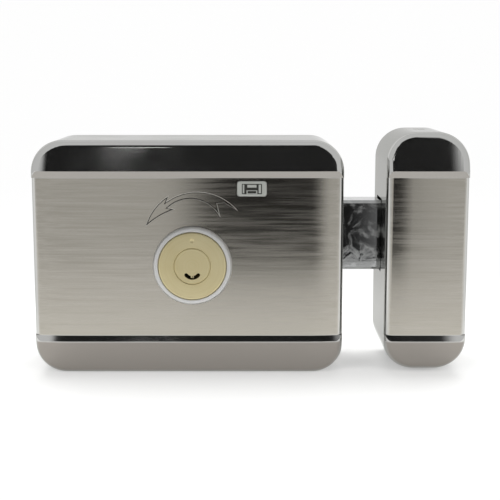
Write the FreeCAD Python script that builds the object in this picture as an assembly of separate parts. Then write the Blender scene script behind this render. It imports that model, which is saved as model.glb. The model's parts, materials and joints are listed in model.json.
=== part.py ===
import FreeCAD, Part
import math
import os

# Electric gate lock: a drawn steel case with a key cylinder and a motor-driven deadbolt,
# and the strike box that the bolt enters. Millimetres, +X towards the strike, +Z up, and
# +Y into the gate. The origin is the centre of the four mounting holes, on the back plane.

V = FreeCAD.Vector

# Drawn covers
WALL = 1.5
CASE_WIDTH = 131.0
CASE_HEIGHT = 100.0
BODY_DEPTH = 41.0
CASE_CORNER = 12.5
STRIKE_CORNER = 13.0
FRONT_EDGE_R = 3.0
PANEL_RECESS = 1.3
FACET_TILT = 16.0
TOP_FACET = 12.5
LOWER_FACET = 15.0
TOP_STEP = 2.9
LOWER_STEP = 2.3
FACET_OVERSIZE = 0.02
WAY_IN_GAP = 0.8

# Strike box
STRIKE_GAP = 17.7
STRIKE_WIDTH = 34.8
STRIKE_HEIGHT = 101.7
STRIKE_RISE = 2.5

# Plates behind the covers, with bent tabs for the cover screws
PLATE = 2.5
PLATE_FIT = 0.2
TAB_WIDTH = 12.0
TAB_THICK = 2.0
TAB_REACH = 17.0
TAB_HOLE_Y = -12.0
LOCATING_REACH = 10.0
CASE_TAB_X = 35.0
LOCK_HOLES_X = 112.0
LOCK_HOLES_Z = 74.0
STRIKE_HOLES_X = 16.0
STRIKE_HOLES_Z = 76.0
MOUNT_HOLE_D = 5.2

# Screws, as shank diameter, head diameter and head height
M3 = (3.0, 5.5, 1.6)
M2 = (2.0, 3.8, 1.2)
FLAT_HEAD = 1.5
SCREW_FIT = 0.1
THREAD_FIT = 0.05

# Key cylinder, with its axis along Y
KEY_X = 1.9
KEY_Z = -2.3
CYL_FACE_D = 28.6
CYL_PROUD = 2.6
CYL_FLANGE = 2.0
CYL_BEVEL = 0.6
CYL_BODY_D = 26.0
CYL_HOLE_FIT = 0.3
RING_D = 33.4
RING_HEIGHT = 2.2
RING_FOOT = 0.8
RING_BEVEL = 1.4
RING_FIT = 0.1
PLUG_FACE_D = 15.2
PLUG_D = 13.6
PLUG_SHOULDER = 1.5
PLUG_BEVEL = 0.25
WARD_WIDTH = 0.6
WARD_OFF = 0.3
PLUG_FIT = 0.05
KEYWAY_R = 3.3
KEYWAY_WIDTH = 1.6
KEYWAY_HALF_ANGLE = 50.0
KEYWAY_DROP = 1.55
KEYWAY_DEPTH = 20.0
NECK_D = 11.0
NECK_FIT = 0.05
CLIP_D = 16.0
CLIP_THICK = 0.8
PLUG_END = 0.6
TAIL_WIDTH = 6.0
TAIL_THICK = 1.6
TAIL_END_Y = -4.5
TAIL_SOCKET = 2.0
FACE_DIMPLE_D = 3.0
FACE_DIMPLE_SUNK = 0.36
FACE_DIMPLE_RISE = 10.8

# Deadbolt
BOLT_Z = 7.75
BOLT_HEIGHT = 30.5
BOLT_THICK = 14.0
BOLT_BACK_Y = -9.0
BOLT_TRAVEL = 23.0
BOLT_LENGTH = 40.5
BOLT_CHAMFER = 1.2
BOLT_FIT = 0.15

# Gear drive
MODULE = 1.0
PRESSURE_ANGLE = 20.0
BACKLASH = 0.15
HUB_TEETH = 30
PINION_TEETH = 14
RACK_ADDENDUM = 0.8
DEDENDUM = 1.25
GEAR_THICK = 5.0
HUB_RIM_D = 18.0
HUB_JOURNAL_D = 12.0
HUB_COLLAR_D = 13.0
HUB_FIT = 0.05
SECTOR_START = -22.0
SECTOR_END = 112.0
LOST_MOTION = 88.0
BOW_TIE_FIT = 0.3
PINION_X = -20.0
SHAFT_D = 3.0

# Carriage behind the bolt, with its two guide posts
CARRIAGE_LEFT = -36.0
TONGUE = 12.0
TONGUE_FIT = 0.05
TONGUE_SCREW = 8.0
POST_D = 4.0
POST_FIT = 0.1
POST_HEAD_D = 6.0
POST_X = (-30.0, 10.0)

# Bridge that carries the cylinder and the spring rods
BRIDGE_FRONT_Y = -18.0
BRIDGE_THICK = 2.0
BRIDGE_HALF = 21.5
BRIDGE_DROP = 15.1
BRIDGE_RISE = 13.4
BRIDGE_FOOT = 7.0
SPRING_DROP = (10.8, 2.8)
SPRING_Y = -15.0
SPRING_BORE_D = 5.8
SPRING_BORE_DEPTH = 16.0
SPRING_D = 5.2
SPRING_WIRE = 0.8
SPRING_TURNS = 7
ROD_D = 3.0
ROD_REACH = 17.0

# Bolt guide behind the case's right wall
GUIDE_THICK = 8.0
GUIDE_RIM = 5.0
GUIDE_FRONT = 3.0
BLOCK_SCREW = 12.0

# Gear motor and its bracket
MOTOR_D = 16.0
MOTOR_CAN_D = 15.4
CAN_FLAT = 1.6
GEARBOX_LENGTH = 9.0
MOTOR_LENGTH = 10.5
MOTOR_BOSS_D = 7.0
MOTOR_SCREW_R = 5.4
BRACKET_FRONT_Y = -17.0
BRACKET_THICK = 1.5
BRACKET_HALF = 13.0
BRACKET_DROP = 4.2
BRACKET_RISE = 12.8
BRACKET_FOOT = 7.0

# Circuit board and what it carries
BOARD_X = (19.5, 50.5)
BOARD_MARGIN = 3.5
BOARD_REAR_Y = -27.4
BOARD_THICK = 1.6
STANDOFF_D = 5.5
STANDOFF_X = (24.0, 46.0)
STANDOFF_MARGIN = 7.0
WINDOW_X = 26.9
WINDOW_Z = 30.1
WINDOW_W = 12.5
WINDOW_H = 6.6
WINDOW_R = 1.3
WINDOW_PROUD = 0.6
WINDOW_FIT = 0.1
WINDOW_FLANGE = 1.2
WINDOW_BEVEL = 0.7
LED_W = 6.8
LED_H = 4.2
LED_AIR = 0.5
TERMINAL_POLES = 6
TERMINAL_PITCH = 3.5
TERMINAL_HEIGHT = 8.0
TERMINAL_DEPTH = 7.0
TERMINAL_Z = -34.5
CAN_D = 8.0
CAN_HEIGHT = 7.0
CAN_Z = -20.0
CAN_X = (28.0, 40.0)
CHIP_Z = 4.0
CABLE_X = 35.0
CABLE_Z = -26.0
CABLE_D = 8.0
GROMMET_D = 13.0
GROMMET_LIP = 1.5
SENSOR_Z = -22.0
SENSOR_SIZE = (11.0, 7.0, 8.0)
MAGNET_D = 9.0
MAGNET_THICK = 4.0

# Keeper inside the strike
KEEPER_DEPTH = 25.0
POCKET_DEPTH = 19.5
POCKET_FIT = 1.0
KEEPER_RIM = 3.0
KEEPER_SCREW_Z = 11.0

# Turning arrow stamped in the panel, as corner points measured from the case's middle
ARROW_SUNK = 0.35
ARROW_TIP = (-17.7, 14.1)
ARROW_OUTER_BARB = (-7.7, 27.3)
ARROW_OUTER_NECK = (-8.8, 24.7)
ARROW_OUTER_MID = (5.4, 28.8)
ARROW_TAIL = ((21.0, 20.9), (15.4, 24.2), (12.3, 23.9), (13.7, 18.1))
ARROW_INNER_MID = (1.6, 25.8)
ARROW_INNER_NECK = (-8.2, 22.1)
ARROW_INNER_BARB = (-5.2, 21.5)
ARROW_HEAD_BULGE = 1.6

# Places that follow from the sizes above
CASE_LEFT = -CASE_WIDTH / 2
CASE_RIGHT = CASE_WIDTH / 2
CASE_TOP = CASE_HEIGHT / 2
CASE_LOW = -CASE_HEIGHT / 2
STRIKE_LEFT = CASE_RIGHT + STRIKE_GAP
STRIKE_RIGHT = STRIKE_LEFT + STRIKE_WIDTH
STRIKE_LOW = STRIKE_RISE - STRIKE_HEIGHT / 2
STRIKE_TOP = STRIKE_RISE + STRIKE_HEIGHT / 2
STRIKE_X = (STRIKE_LEFT + STRIKE_RIGHT) / 2
FACET_SLOPE = math.tan(math.radians(FACET_TILT))
PANEL_Y = -BODY_DEPTH + PANEL_RECESS
CYL_FACE_Y = PANEL_Y - CYL_PROUD
RING_FRONT_Y = PANEL_Y - RING_HEIGHT
BOLT_FRONT_Y = BOLT_BACK_Y - BOLT_THICK
BOLT_LOW = BOLT_Z - BOLT_HEIGHT / 2
BOLT_TOP = BOLT_Z + BOLT_HEIGHT / 2
BOLT_TIP = CASE_RIGHT + BOLT_TRAVEL
BOLT_REAR = BOLT_TIP - BOLT_LENGTH
HUB_R = MODULE * HUB_TEETH / 2
PINION_R = MODULE * PINION_TEETH / 2
LOWER_PITCH_Z = KEY_Z + HUB_R
UPPER_PITCH_Z = BOLT_TOP - RACK_ADDENDUM * MODULE
PINION_Z = UPPER_PITCH_Z + PINION_R
GEAR_BACK_Y = BOLT_BACK_Y
GEAR_FRONT_Y = GEAR_BACK_Y - GEAR_THICK
TONGUE_SEAT_Y = GEAR_BACK_Y - M2[2] - 2 * SCREW_FIT
BAR_LOW = LOWER_PITCH_Z + DEDENDUM * MODULE
BAR_HIGH = UPPER_PITCH_Z - DEDENDUM * MODULE
BAR_Z = (BAR_LOW + BAR_HIGH) / 2
PLUG_END_Y = BRIDGE_FRONT_Y + CLIP_THICK + PLUG_END
BRIDGE_LOW = KEY_Z - BRIDGE_DROP
BRIDGE_HIGH = KEY_Z + BRIDGE_RISE
SPRING_Z = [BOLT_Z - drop for drop in SPRING_DROP]
BRACKET_LOW = PINION_Z - BRACKET_DROP
BRACKET_HIGH = PINION_Z + BRACKET_RISE
BOARD_FRONT_Y = BOARD_REAR_Y - BOARD_THICK
RIDGE_TOP = CASE_TOP - TOP_FACET
RIDGE_LOW = CASE_LOW + LOWER_FACET
BOARD_LOW = CASE_LOW + BOARD_MARGIN
BOARD_TOP = CASE_TOP - BOARD_MARGIN


def box(x0, x1, y0, y1, z0, z1):
    return Part.makeBox(x1 - x0, y1 - y0, z1 - z0, V(x0, y0, z0))


def wall_between(xa, xb, y0, y1, z0, z1):
    """Box whose two X faces may be given in either order."""
    return box(min(xa, xb), max(xa, xb), y0, y1, z0, z1)


def rod_y(x, z, diameter, y0, y1):
    return Part.makeCylinder(diameter / 2, y1 - y0, V(x, y0, z), V(0, 1, 0))


def rod_x(y, z, diameter, x0, x1):
    return Part.makeCylinder(diameter / 2, x1 - x0, V(x0, y, z), V(1, 0, 0))


def rod_z(x, y, diameter, z0, z1):
    return Part.makeCylinder(diameter / 2, z1 - z0, V(x, y, z0), V(0, 0, 1))


def slab(x0, x1, z0, z1, radius, y0, y1):
    """Rounded rectangle seen from the front, from y0 back to y1."""
    block = box(x0, x1, y0, y1, z0, z1)
    upright = [e for e in block.Edges if abs(e.Vertexes[0].Y - e.Vertexes[1].Y) > 0.5 * (y1 - y0)]
    return block.makeFillet(radius, upright)


def extrude_outline(edges, y0, y1):
    wire = Part.Wire(edges)
    face = Part.Face(wire)
    return face.extrude(V(0, y1 - y0, 0))


def profile_along_x(points, x0, x1):
    """Closed outline of (y, z) points, from x0 to x1."""
    corners = [V(x0, y, z) for y, z in points]
    wire = Part.makePolygon(corners + corners[:1])
    return Part.Face(wire).extrude(V(x1 - x0, 0, 0))


def placed(shape, at, towards):
    """Carry a shape modelled down from the origin to the point `at`, pointing `towards`."""
    turn = FreeCAD.Rotation(V(0, 0, -1), V(*towards))
    shape.Placement = FreeCAD.Placement(V(*at), turn)
    return shape


def screw(size, length, at, towards):
    """Pan-head screw with a driving slot: its head stands on the point `at`, its shank runs `towards`."""
    shank_d, head_d, head_h = size
    bevel = head_h * 0.35
    head = Part.makeCylinder(head_d / 2, head_h - bevel)
    head = head.fuse(Part.makeCone(head_d / 2, head_d / 2 - bevel, bevel, V(0, 0, head_h - bevel)))
    slot = head_d * 0.14
    head = head.cut(Part.makeBox(head_d, slot, head_h, V(-head_d / 2, -slot / 2, head_h * 0.5)))
    shank = Part.makeCylinder(shank_d / 2 - THREAD_FIT, length, V(0, 0, -length))
    return placed(head.fuse(shank).removeSplitter(), at, towards)


def flat_screw(length, at, towards):
    """Flat-head M3 screw whose head lies just below the face at the point `at`."""
    shank_r, head_r, head_h = M3[0] / 2, M3[1] / 2, FLAT_HEAD
    rim_r = head_r - SCREW_FIT - THREAD_FIT
    head = Part.makeCone(shank_r - THREAD_FIT, rim_r, head_h - SCREW_FIT, V(0, 0, -head_h))
    slot = head_r * 0.28
    head = head.cut(Part.makeBox(2 * head_r, slot, head_h, V(-head_r, -slot / 2, -head_h * 0.5)))
    shank = Part.makeCylinder(shank_r - THREAD_FIT, length - head_h / 2, V(0, 0, -length))
    return placed(head.fuse(shank).removeSplitter(), at, towards)


def countersink(depth, at, towards):
    """Clearance hole with a seat for a flat-head M3 screw."""
    cone = Part.makeCone(M3[0] / 2, M3[1] / 2, FLAT_HEAD, V(0, 0, -FLAT_HEAD))
    hole = Part.makeCylinder(M3[0] / 2 + SCREW_FIT, depth + 1, V(0, 0, -depth - 1))
    mouth = Part.makeCylinder(M3[1] / 2, 1.0)
    return placed(cone.fuse(hole).fuse(mouth), at, towards)


# The drawn covers share one form: flat facets at the top and bottom fall back from two
# ridges, and between the ridges the panel is set back between two sloping steps. The
# ridges run on from the case's cover to the strike's at the same heights.

def inset_ridge(z, towards_middle, inset, slope):
    """Height of a ridge or foot line after its two flats move in by the wall."""
    return z + towards_middle * inset * math.tan(math.atan(slope) / 2)


def blunt_block(x0, x1, low, top, corner, inset, front_points):
    """Cover-sized block cut to a front line of two (y, z) points, its front rim rounded."""
    (y0, z0), (y1, z1) = front_points
    far = -3 * BODY_DEPTH
    body = slab(x0 + inset, x1 - inset, low + inset, top - inset, corner - inset, far, 0)
    body = body.cut(profile_along_x([(y0, z0), (far - 1, z0), (far - 1, z1), (y1, z1)], x0 - 1, x1 + 1))
    sides = [f for f in body.Faces if abs(f.normalAt(0, 0).y) > 0.5 and f.BoundBox.YMax < -1]
    return body.makeFillet(FRONT_EDGE_R - inset, sides[0].Edges)


def drawn_form(x0, x1, low, top, corner, inset):
    front = -(BODY_DEPTH - inset)
    slope = FACET_SLOPE
    body = blunt_block(x0, x1, low, top, corner, inset, [(front, low - 1), (front, top + 1)])
    for edge_z, other_z, sign, outer_ridge in ((top, low, 1, RIDGE_TOP), (low, top, -1, RIDGE_LOW)):
        ridge = inset_ridge(outer_ridge, -sign, inset, slope)
        line = [(front + sign * (z - ridge) * slope, z) for z in (other_z - sign, edge_z + sign)]
        over = FACET_OVERSIZE
        body = body.common(blunt_block(x0 - over, x1 + over, low - over, top + over, corner + over, inset,
                                       sorted(line, key=lambda p: p[1])))
    return body.cut(panel_recess(x0, x1, inset))


def panel_recess(x0, x1, inset):
    front = -(BODY_DEPTH - inset)
    floor = front + PANEL_RECESS
    outline = []
    for outer_ridge, sign, step in ((RIDGE_TOP, 1, TOP_STEP), (RIDGE_LOW, -1, LOWER_STEP)):
        slope = PANEL_RECESS / step
        ridge = inset_ridge(outer_ridge, -sign, inset, slope)
        foot = ridge - sign * step
        over = ridge + sign * step
        outline.append([(front - PANEL_RECESS, over), (floor, foot)])
    points = outline[0] + outline[1][::-1]
    return profile_along_x(points, x0 - 1, x1 + 1)


def drawn_cover(x0, x1, low, top, corner):
    return drawn_form(x0, x1, low, top, corner, 0).cut(drawn_form(x0, x1, low, top, corner, WALL))


def bolt_way(x0, x1):
    return box(x0, x1, BOLT_FRONT_Y - WAY_IN_GAP, BOLT_BACK_Y + WAY_IN_GAP,
               BOLT_LOW - WAY_IN_GAP, BOLT_TOP + WAY_IN_GAP)


def arrow_outline():
    def point(place):
        return V(place[0], -BODY_DEPTH, place[1])

    def bulged(start, end, bulge):
        middle = (point(start) + point(end)) * 0.5
        along = (point(end) - point(start)).normalize()
        across = V(-along.z, 0, along.x)
        return Part.Arc(point(start), middle + across * bulge, point(end)).toShape()

    tail = ARROW_TAIL
    return [
        bulged(ARROW_TIP, ARROW_OUTER_BARB, ARROW_HEAD_BULGE),
        Part.makeLine(point(ARROW_OUTER_BARB), point(ARROW_OUTER_NECK)),
        Part.Arc(point(ARROW_OUTER_NECK), point(ARROW_OUTER_MID), point(tail[0])).toShape(),
        Part.makeLine(point(tail[0]), point(tail[1])),
        Part.makeLine(point(tail[1]), point(tail[2])),
        Part.makeLine(point(tail[2]), point(tail[3])),
        Part.Arc(point(tail[3]), point(ARROW_INNER_MID), point(ARROW_INNER_NECK)).toShape(),
        Part.makeLine(point(ARROW_INNER_NECK), point(ARROW_INNER_BARB)),
        bulged(ARROW_INNER_BARB, ARROW_TIP, -ARROW_HEAD_BULGE * 0.5),
    ]


def case_cover():
    cover = drawn_cover(CASE_LEFT, CASE_RIGHT, CASE_LOW, CASE_TOP, CASE_CORNER)
    cylinder_hole = rod_y(KEY_X, KEY_Z, CYL_BODY_D + 2 * CYL_HOLE_FIT, -BODY_DEPTH - 1, PANEL_Y + WALL + 1)
    window = window_slab(WINDOW_FIT, -BODY_DEPTH - 1, PANEL_Y + WALL + 1)
    arrow = extrude_outline(arrow_outline(), -BODY_DEPTH, PANEL_Y + ARROW_SUNK)
    tools = [cylinder_hole, window, arrow, bolt_way(CASE_RIGHT - WALL - 1, CASE_RIGHT + 1)]
    for x in (-CASE_TAB_X, CASE_TAB_X):
        tools.append(countersink(WALL, (x, TAB_HOLE_Y, CASE_LOW), (0, 0, 1)))
    return cover.cut(Part.makeCompound(tools))


def strike_cover():
    cover = drawn_cover(STRIKE_LEFT, STRIKE_RIGHT, STRIKE_LOW, STRIKE_TOP, STRIKE_CORNER)
    tools = [
        bolt_way(STRIKE_LEFT - 1, STRIKE_LEFT + WALL + 1),
        countersink(WALL, (STRIKE_X, TAB_HOLE_Y, STRIKE_LOW), (0, 0, 1)),
        countersink(WALL, (STRIKE_X, TAB_HOLE_Y, STRIKE_TOP), (0, 0, -1)),
    ]
    return cover.cut(Part.makeCompound(tools))


def plate_blank(x0, x1, low, top, corner):
    inset = WALL + PLATE_FIT
    return slab(x0 + inset, x1 - inset, low + inset, top - inset, corner - inset, -PLATE, 0)


def bent_tab(x, edge_z, sign, reach):
    """Tab bent forward from a plate's edge, just inside the cover's wall."""
    outer = edge_z - sign * (WALL + PLATE_FIT)
    inner = outer - sign * TAB_THICK
    half = TAB_WIDTH / 2
    tab = box(x - half, x + half, -reach, -PLATE / 2, min(outer, inner), max(outer, inner))
    tips = [e for e in tab.Edges if e.BoundBox.YMax < -reach + 0.1 and e.BoundBox.ZLength > TAB_THICK / 2]
    return tab.makeFillet(TAB_WIDTH / 4, tips)


def screw_tab(x, edge_z, sign):
    """Bent tab with a hole for a cover screw."""
    tab = bent_tab(x, edge_z, sign, TAB_REACH)
    return tab.cut(rod_z(x, TAB_HOLE_Y, M3[0], edge_z - TAB_REACH, edge_z + TAB_REACH))


def grid(x, z, pitch_x, pitch_z):
    return [(x + sx * pitch_x / 2, z + sz * pitch_z / 2) for sx in (-1, 1) for sz in (-1, 1)]


def foot_points():
    """Places of the screws that hold the bridge, the motor bracket and the bolt guide to the back plate."""
    bridge = [(KEY_X + s * (BRIDGE_HALF + BRIDGE_FOOT / 2), BRIDGE_LOW + 5) for s in (-1, 1)]
    bracket = [(PINION_X + s * (BRACKET_HALF + BRACKET_FOOT / 2), BRACKET_HIGH - 4) for s in (-1, 1)]
    return bridge, bracket


def guide_span():
    x1 = CASE_RIGHT - WALL
    return x1 - GUIDE_THICK, x1, BOLT_LOW - GUIDE_RIM, BOLT_TOP + GUIDE_RIM


def guide_screw_points():
    x0, x1, z0, z1 = guide_span()
    return [((x0 + x1) / 2, z0 + GUIDE_RIM / 2), ((x0 + x1) / 2, z1 - GUIDE_RIM / 2)]


def back_plate():
    plate = plate_blank(CASE_LEFT, CASE_RIGHT, CASE_LOW, CASE_TOP, CASE_CORNER)
    for x in (-CASE_TAB_X, CASE_TAB_X):
        plate = plate.fuse(screw_tab(x, CASE_LOW, -1)).fuse(bent_tab(x, CASE_TOP, 1, LOCATING_REACH))
    tools = [rod_y(x, z, MOUNT_HOLE_D, -PLATE - 1, 1) for x, z in grid(0, 0, LOCK_HOLES_X, LOCK_HOLES_Z)]
    tools.append(rod_y(KEY_X, KEY_Z, HUB_JOURNAL_D + 2 * HUB_FIT, -PLATE - 1, 1))
    tools.append(rod_y(CABLE_X, CABLE_Z, GROMMET_D, -PLATE - 1, 1))
    bridge, bracket = foot_points()
    for x, z in bridge + bracket:
        tools.append(rod_y(x, z, M3[0], -PLATE - 1, 1))
    for x, z in guide_screw_points():
        tools.append(countersink(PLATE, (x, 0, z), (0, -1, 0)))
    return plate.cut(Part.makeCompound(tools)).removeSplitter()


def cover_screws(points, low, top):
    """Screws through a cover's lower wall, and its upper wall where there is one."""
    screws = []
    for x, sign in points:
        edge = top if sign > 0 else low
        screws.append(flat_screw(WALL + PLATE_FIT + TAB_THICK + 2, (x, TAB_HOLE_Y, edge), (0, 0, -sign)))
    return Part.makeCompound(screws)


def case_screws():
    return cover_screws([(-CASE_TAB_X, -1), (CASE_TAB_X, -1)], CASE_LOW, CASE_TOP)


def strike_screws():
    return cover_screws([(STRIKE_X, -1), (STRIKE_X, 1)], STRIKE_LOW, STRIKE_TOP)


# Key cylinder

def trim_ring():
    rear = PANEL_Y
    half = RING_D / 2
    lip_y = CYL_FACE_Y + CYL_FLANGE
    lip_r = CYL_BODY_D / 2 + CYL_HOLE_FIT
    bore_r = CYL_FACE_D / 2 + RING_FIT
    outline = [(lip_r, rear), (half, rear), (half, rear - RING_FOOT), (half - RING_BEVEL, RING_FRONT_Y),
               (bore_r, RING_FRONT_Y), (bore_r, lip_y), (lip_r, lip_y)]
    corners = [V(KEY_X + r, y, KEY_Z) for r, y in outline]
    face = Part.Face(Part.makePolygon(corners + corners[:1]))
    return face.revolve(V(KEY_X, 0, KEY_Z), V(0, 1, 0), 360)


def turned(outline):
    """Solid turned about the key axis from (radius, y) points that start and end on the axis."""
    corners = [V(KEY_X + r, y, KEY_Z) for r, y in outline]
    face = Part.Face(Part.makePolygon(corners + corners[:1]))
    return face.revolve(V(KEY_X, 0, KEY_Z), V(0, 1, 0), 360)


def cylinder_housing():
    face_r = CYL_FACE_D / 2
    body_r = CYL_BODY_D / 2
    flange_y = CYL_FACE_Y + CYL_FLANGE
    blank = turned([(0, CYL_FACE_Y), (face_r - CYL_BEVEL, CYL_FACE_Y), (face_r, CYL_FACE_Y + CYL_BEVEL),
                    (face_r, flange_y), (body_r, flange_y), (body_r, BRIDGE_FRONT_Y), (0, BRIDGE_FRONT_Y)])
    wide_r = PLUG_FACE_D / 2 + PLUG_FIT
    bore_r = PLUG_D / 2 + PLUG_FIT
    shoulder_y = CYL_FACE_Y + PLUG_SHOULDER
    bore = turned([(0, CYL_FACE_Y - 1), (wide_r + 1.2, CYL_FACE_Y - 1), (wide_r, CYL_FACE_Y + 0.2),
                   (wide_r, shoulder_y), (bore_r, shoulder_y), (bore_r, BRIDGE_FRONT_Y + 1),
                   (0, BRIDGE_FRONT_Y + 1)])
    housing = blank.cut(bore)
    above = FACE_DIMPLE_D / 2 - FACE_DIMPLE_SUNK
    dimple = Part.makeSphere(FACE_DIMPLE_D / 2, V(KEY_X, CYL_FACE_Y - above, KEY_Z + FACE_DIMPLE_RISE))
    housing = housing.cut(dimple)
    for x, z in cylinder_screw_points():
        housing = housing.cut(rod_y(x, z, M3[0], BRIDGE_FRONT_Y - 7, BRIDGE_FRONT_Y + 1))
    return housing


def cylinder_screw_points():
    reach = (CYL_BODY_D + PLUG_D) / 4
    return [(KEY_X - reach, KEY_Z), (KEY_X + reach, KEY_Z)]


def keyway(y0, y1):
    """Crescent slot with round ends, open side up."""
    centre_z = KEY_Z - KEYWAY_DROP
    half = math.radians(KEYWAY_HALF_ANGLE)

    def at(radius, angle):
        return V(KEY_X + radius * math.sin(angle), y0, centre_z - radius * math.cos(angle))

    inner = KEYWAY_R - KEYWAY_WIDTH / 2
    outer = KEYWAY_R + KEYWAY_WIDTH / 2
    cap = KEYWAY_WIDTH / (2 * KEYWAY_R)
    edges = [
        Part.Arc(at(outer, -half), at(outer, 0), at(outer, half)).toShape(),
        Part.Arc(at(outer, half), at(KEYWAY_R, half + cap), at(inner, half)).toShape(),
        Part.Arc(at(inner, half), at(inner, 0), at(inner, -half)).toShape(),
        Part.Arc(at(inner, -half), at(KEYWAY_R, -half - cap), at(outer, -half)).toShape(),
    ]
    return extrude_outline(edges, y0, y1)


def key_plug():
    face_r = PLUG_FACE_D / 2
    body_r = PLUG_D / 2
    neck_r = NECK_D / 2
    shoulder_y = CYL_FACE_Y + PLUG_SHOULDER - PLUG_FIT
    plug = turned([(0, CYL_FACE_Y), (face_r - PLUG_BEVEL, CYL_FACE_Y), (face_r, CYL_FACE_Y + PLUG_BEVEL),
                   (face_r, shoulder_y), (body_r, shoulder_y), (body_r, BRIDGE_FRONT_Y),
                   (neck_r, BRIDGE_FRONT_Y), (neck_r, PLUG_END_Y), (0, PLUG_END_Y)])
    crescent_low = KEY_Z - KEYWAY_DROP - KEYWAY_R
    ward = box(KEY_X - WARD_OFF - WARD_WIDTH, KEY_X - WARD_OFF, CYL_FACE_Y, CYL_FACE_Y + KEYWAY_DEPTH,
               crescent_low - 0.1, crescent_low + KEYWAY_WIDTH)
    slot = keyway(CYL_FACE_Y - 1, CYL_FACE_Y + KEYWAY_DEPTH).cut(ward)
    socket = tail_bar(PLUG_END_Y - TAIL_SOCKET, PLUG_END_Y + 1)
    return plug.cut(slot).cut(socket)


def plug_clip():
    rear = BRIDGE_FRONT_Y + CLIP_THICK
    ring = rod_y(KEY_X, KEY_Z, CLIP_D, BRIDGE_FRONT_Y, rear)
    ring = ring.cut(rod_y(KEY_X, KEY_Z, NECK_D + 2 * NECK_FIT, BRIDGE_FRONT_Y - 1, rear + 1))
    half_mouth = NECK_D * 0.3
    mouth = box(KEY_X - half_mouth, KEY_X + half_mouth, BRIDGE_FRONT_Y - 1, rear + 1, KEY_Z - CLIP_D, KEY_Z)
    return ring.cut(mouth)


def tail_bar(y0, y1):
    half_x, half_z = TAIL_THICK / 2, TAIL_WIDTH / 2
    return box(KEY_X - half_x, KEY_X + half_x, y0, y1, KEY_Z - half_z, KEY_Z + half_z)


def tailpiece():
    return tail_bar(PLUG_END_Y - TAIL_SOCKET, TAIL_END_Y)


def bridge_window():
    return rod_y(KEY_X, KEY_Z, CLIP_D + 1.0, BRIDGE_FRONT_Y - 1, BRIDGE_FRONT_Y + BRIDGE_THICK + 1)


def cylinder_bridge():
    left, right = KEY_X - BRIDGE_HALF, KEY_X + BRIDGE_HALF
    rear = BRIDGE_FRONT_Y + BRIDGE_THICK
    top = slab(left, right, BRIDGE_LOW, BRIDGE_HIGH, 2.0, BRIDGE_FRONT_Y, rear)
    shape = top.cut(bridge_window())
    for sign, x in ((-1, left), (1, right)):
        low, high = BRIDGE_LOW + 2, BRIDGE_HIGH - 2
        foot_y = -PLATE - BRIDGE_THICK
        shape = shape.fuse(wall_between(x, x - sign * BRIDGE_THICK, BRIDGE_FRONT_Y, -PLATE, low, high))
        shape = shape.fuse(wall_between(x, x + sign * BRIDGE_FOOT, foot_y, -PLATE, low, low + 10))
    for x, z in cylinder_screw_points():
        shape = shape.cut(rod_y(x, z, M3[0] + 2 * SCREW_FIT, BRIDGE_FRONT_Y - 1, rear + 1))
    for x, z in foot_points()[0]:
        shape = shape.cut(rod_y(x, z, M3[0] + 2 * SCREW_FIT, -PLATE - BRIDGE_THICK - 1, 0))
    for z in SPRING_Z:
        shape = shape.cut(rod_x(SPRING_Y, z, ROD_D, right - BRIDGE_THICK - 1, right + 1))
    return shape.removeSplitter()


def cylinder_screws():
    rear = BRIDGE_FRONT_Y + BRIDGE_THICK
    return Part.makeCompound([screw(M3, 7.0, (x, rear, z), (0, -1, 0)) for x, z in cylinder_screw_points()])


def foot_screws():
    bridge, bracket = foot_points()
    screws = []
    for points, thick in ((bridge, BRIDGE_THICK), (bracket, BRACKET_THICK)):
        screws += [screw(M3, thick + PLATE, (x, -PLATE - thick, z), (0, 1, 0)) for x, z in points]
    return Part.makeCompound(screws)


# Gear teeth: involute flanks, drawn as arcs through three points of the curve

def involute(angle):
    return math.tan(angle) - angle


def gear_blank(teeth, phase, x, z):
    pitch_r = MODULE * teeth / 2
    base_r = pitch_r * math.cos(math.radians(PRESSURE_ANGLE))
    tip_r = pitch_r + MODULE
    root_r = pitch_r - DEDENDUM * MODULE
    foot_r = max(base_r, root_r) + 0.02
    half_pitch = (math.pi * MODULE / 2 - BACKLASH) / (2 * pitch_r)
    mid_r = (foot_r + tip_r) / 2

    def half_angle(radius):
        slant = math.acos(base_r / radius)
        return half_pitch + involute(math.radians(PRESSURE_ANGLE)) - involute(slant)

    def at(radius, angle):
        return V(x + radius * math.cos(angle), GEAR_FRONT_Y, z + radius * math.sin(angle))

    edges = []
    step = 2 * math.pi / teeth
    for index in range(teeth):
        middle = phase + index * step
        foot, mid, tip = (half_angle(r) for r in (foot_r, mid_r, tip_r))
        rising = [at(foot_r, middle - foot), at(mid_r, middle - mid), at(tip_r, middle - tip)]
        across = [at(tip_r, middle - tip), at(tip_r, middle), at(tip_r, middle + tip)]
        falling = [at(tip_r, middle + tip), at(mid_r, middle + mid), at(foot_r, middle + foot)]
        root = [at(root_r, middle + foot), at(root_r, middle + step / 2), at(root_r, middle + step - foot)]
        edges.append(Part.makeLine(at(root_r, middle - foot), rising[0]))
        edges += [Part.Arc(*points).toShape() for points in (rising, across, falling)]
        edges.append(Part.makeLine(falling[2], root[0]))
        edges.append(Part.Arc(*root).toShape())
    return extrude_outline(edges, GEAR_FRONT_Y, GEAR_BACK_Y)


def pie(radius, start, end, y0, y1):
    """Slice of a disc on the key axis between two angles in degrees, counted from +X towards +Z."""
    angles = [math.radians(a) for a in (start, (start + end) / 2, end)]
    centre = V(KEY_X, y0, KEY_Z)
    first, middle, last = [centre + V(radius * math.cos(a), 0, radius * math.sin(a)) for a in angles]
    arc = Part.Arc(first, middle, last).toShape()
    edges = [Part.makeLine(centre, first), arc, Part.makeLine(last, centre)]
    return extrude_outline(edges, y0, y1)


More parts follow.
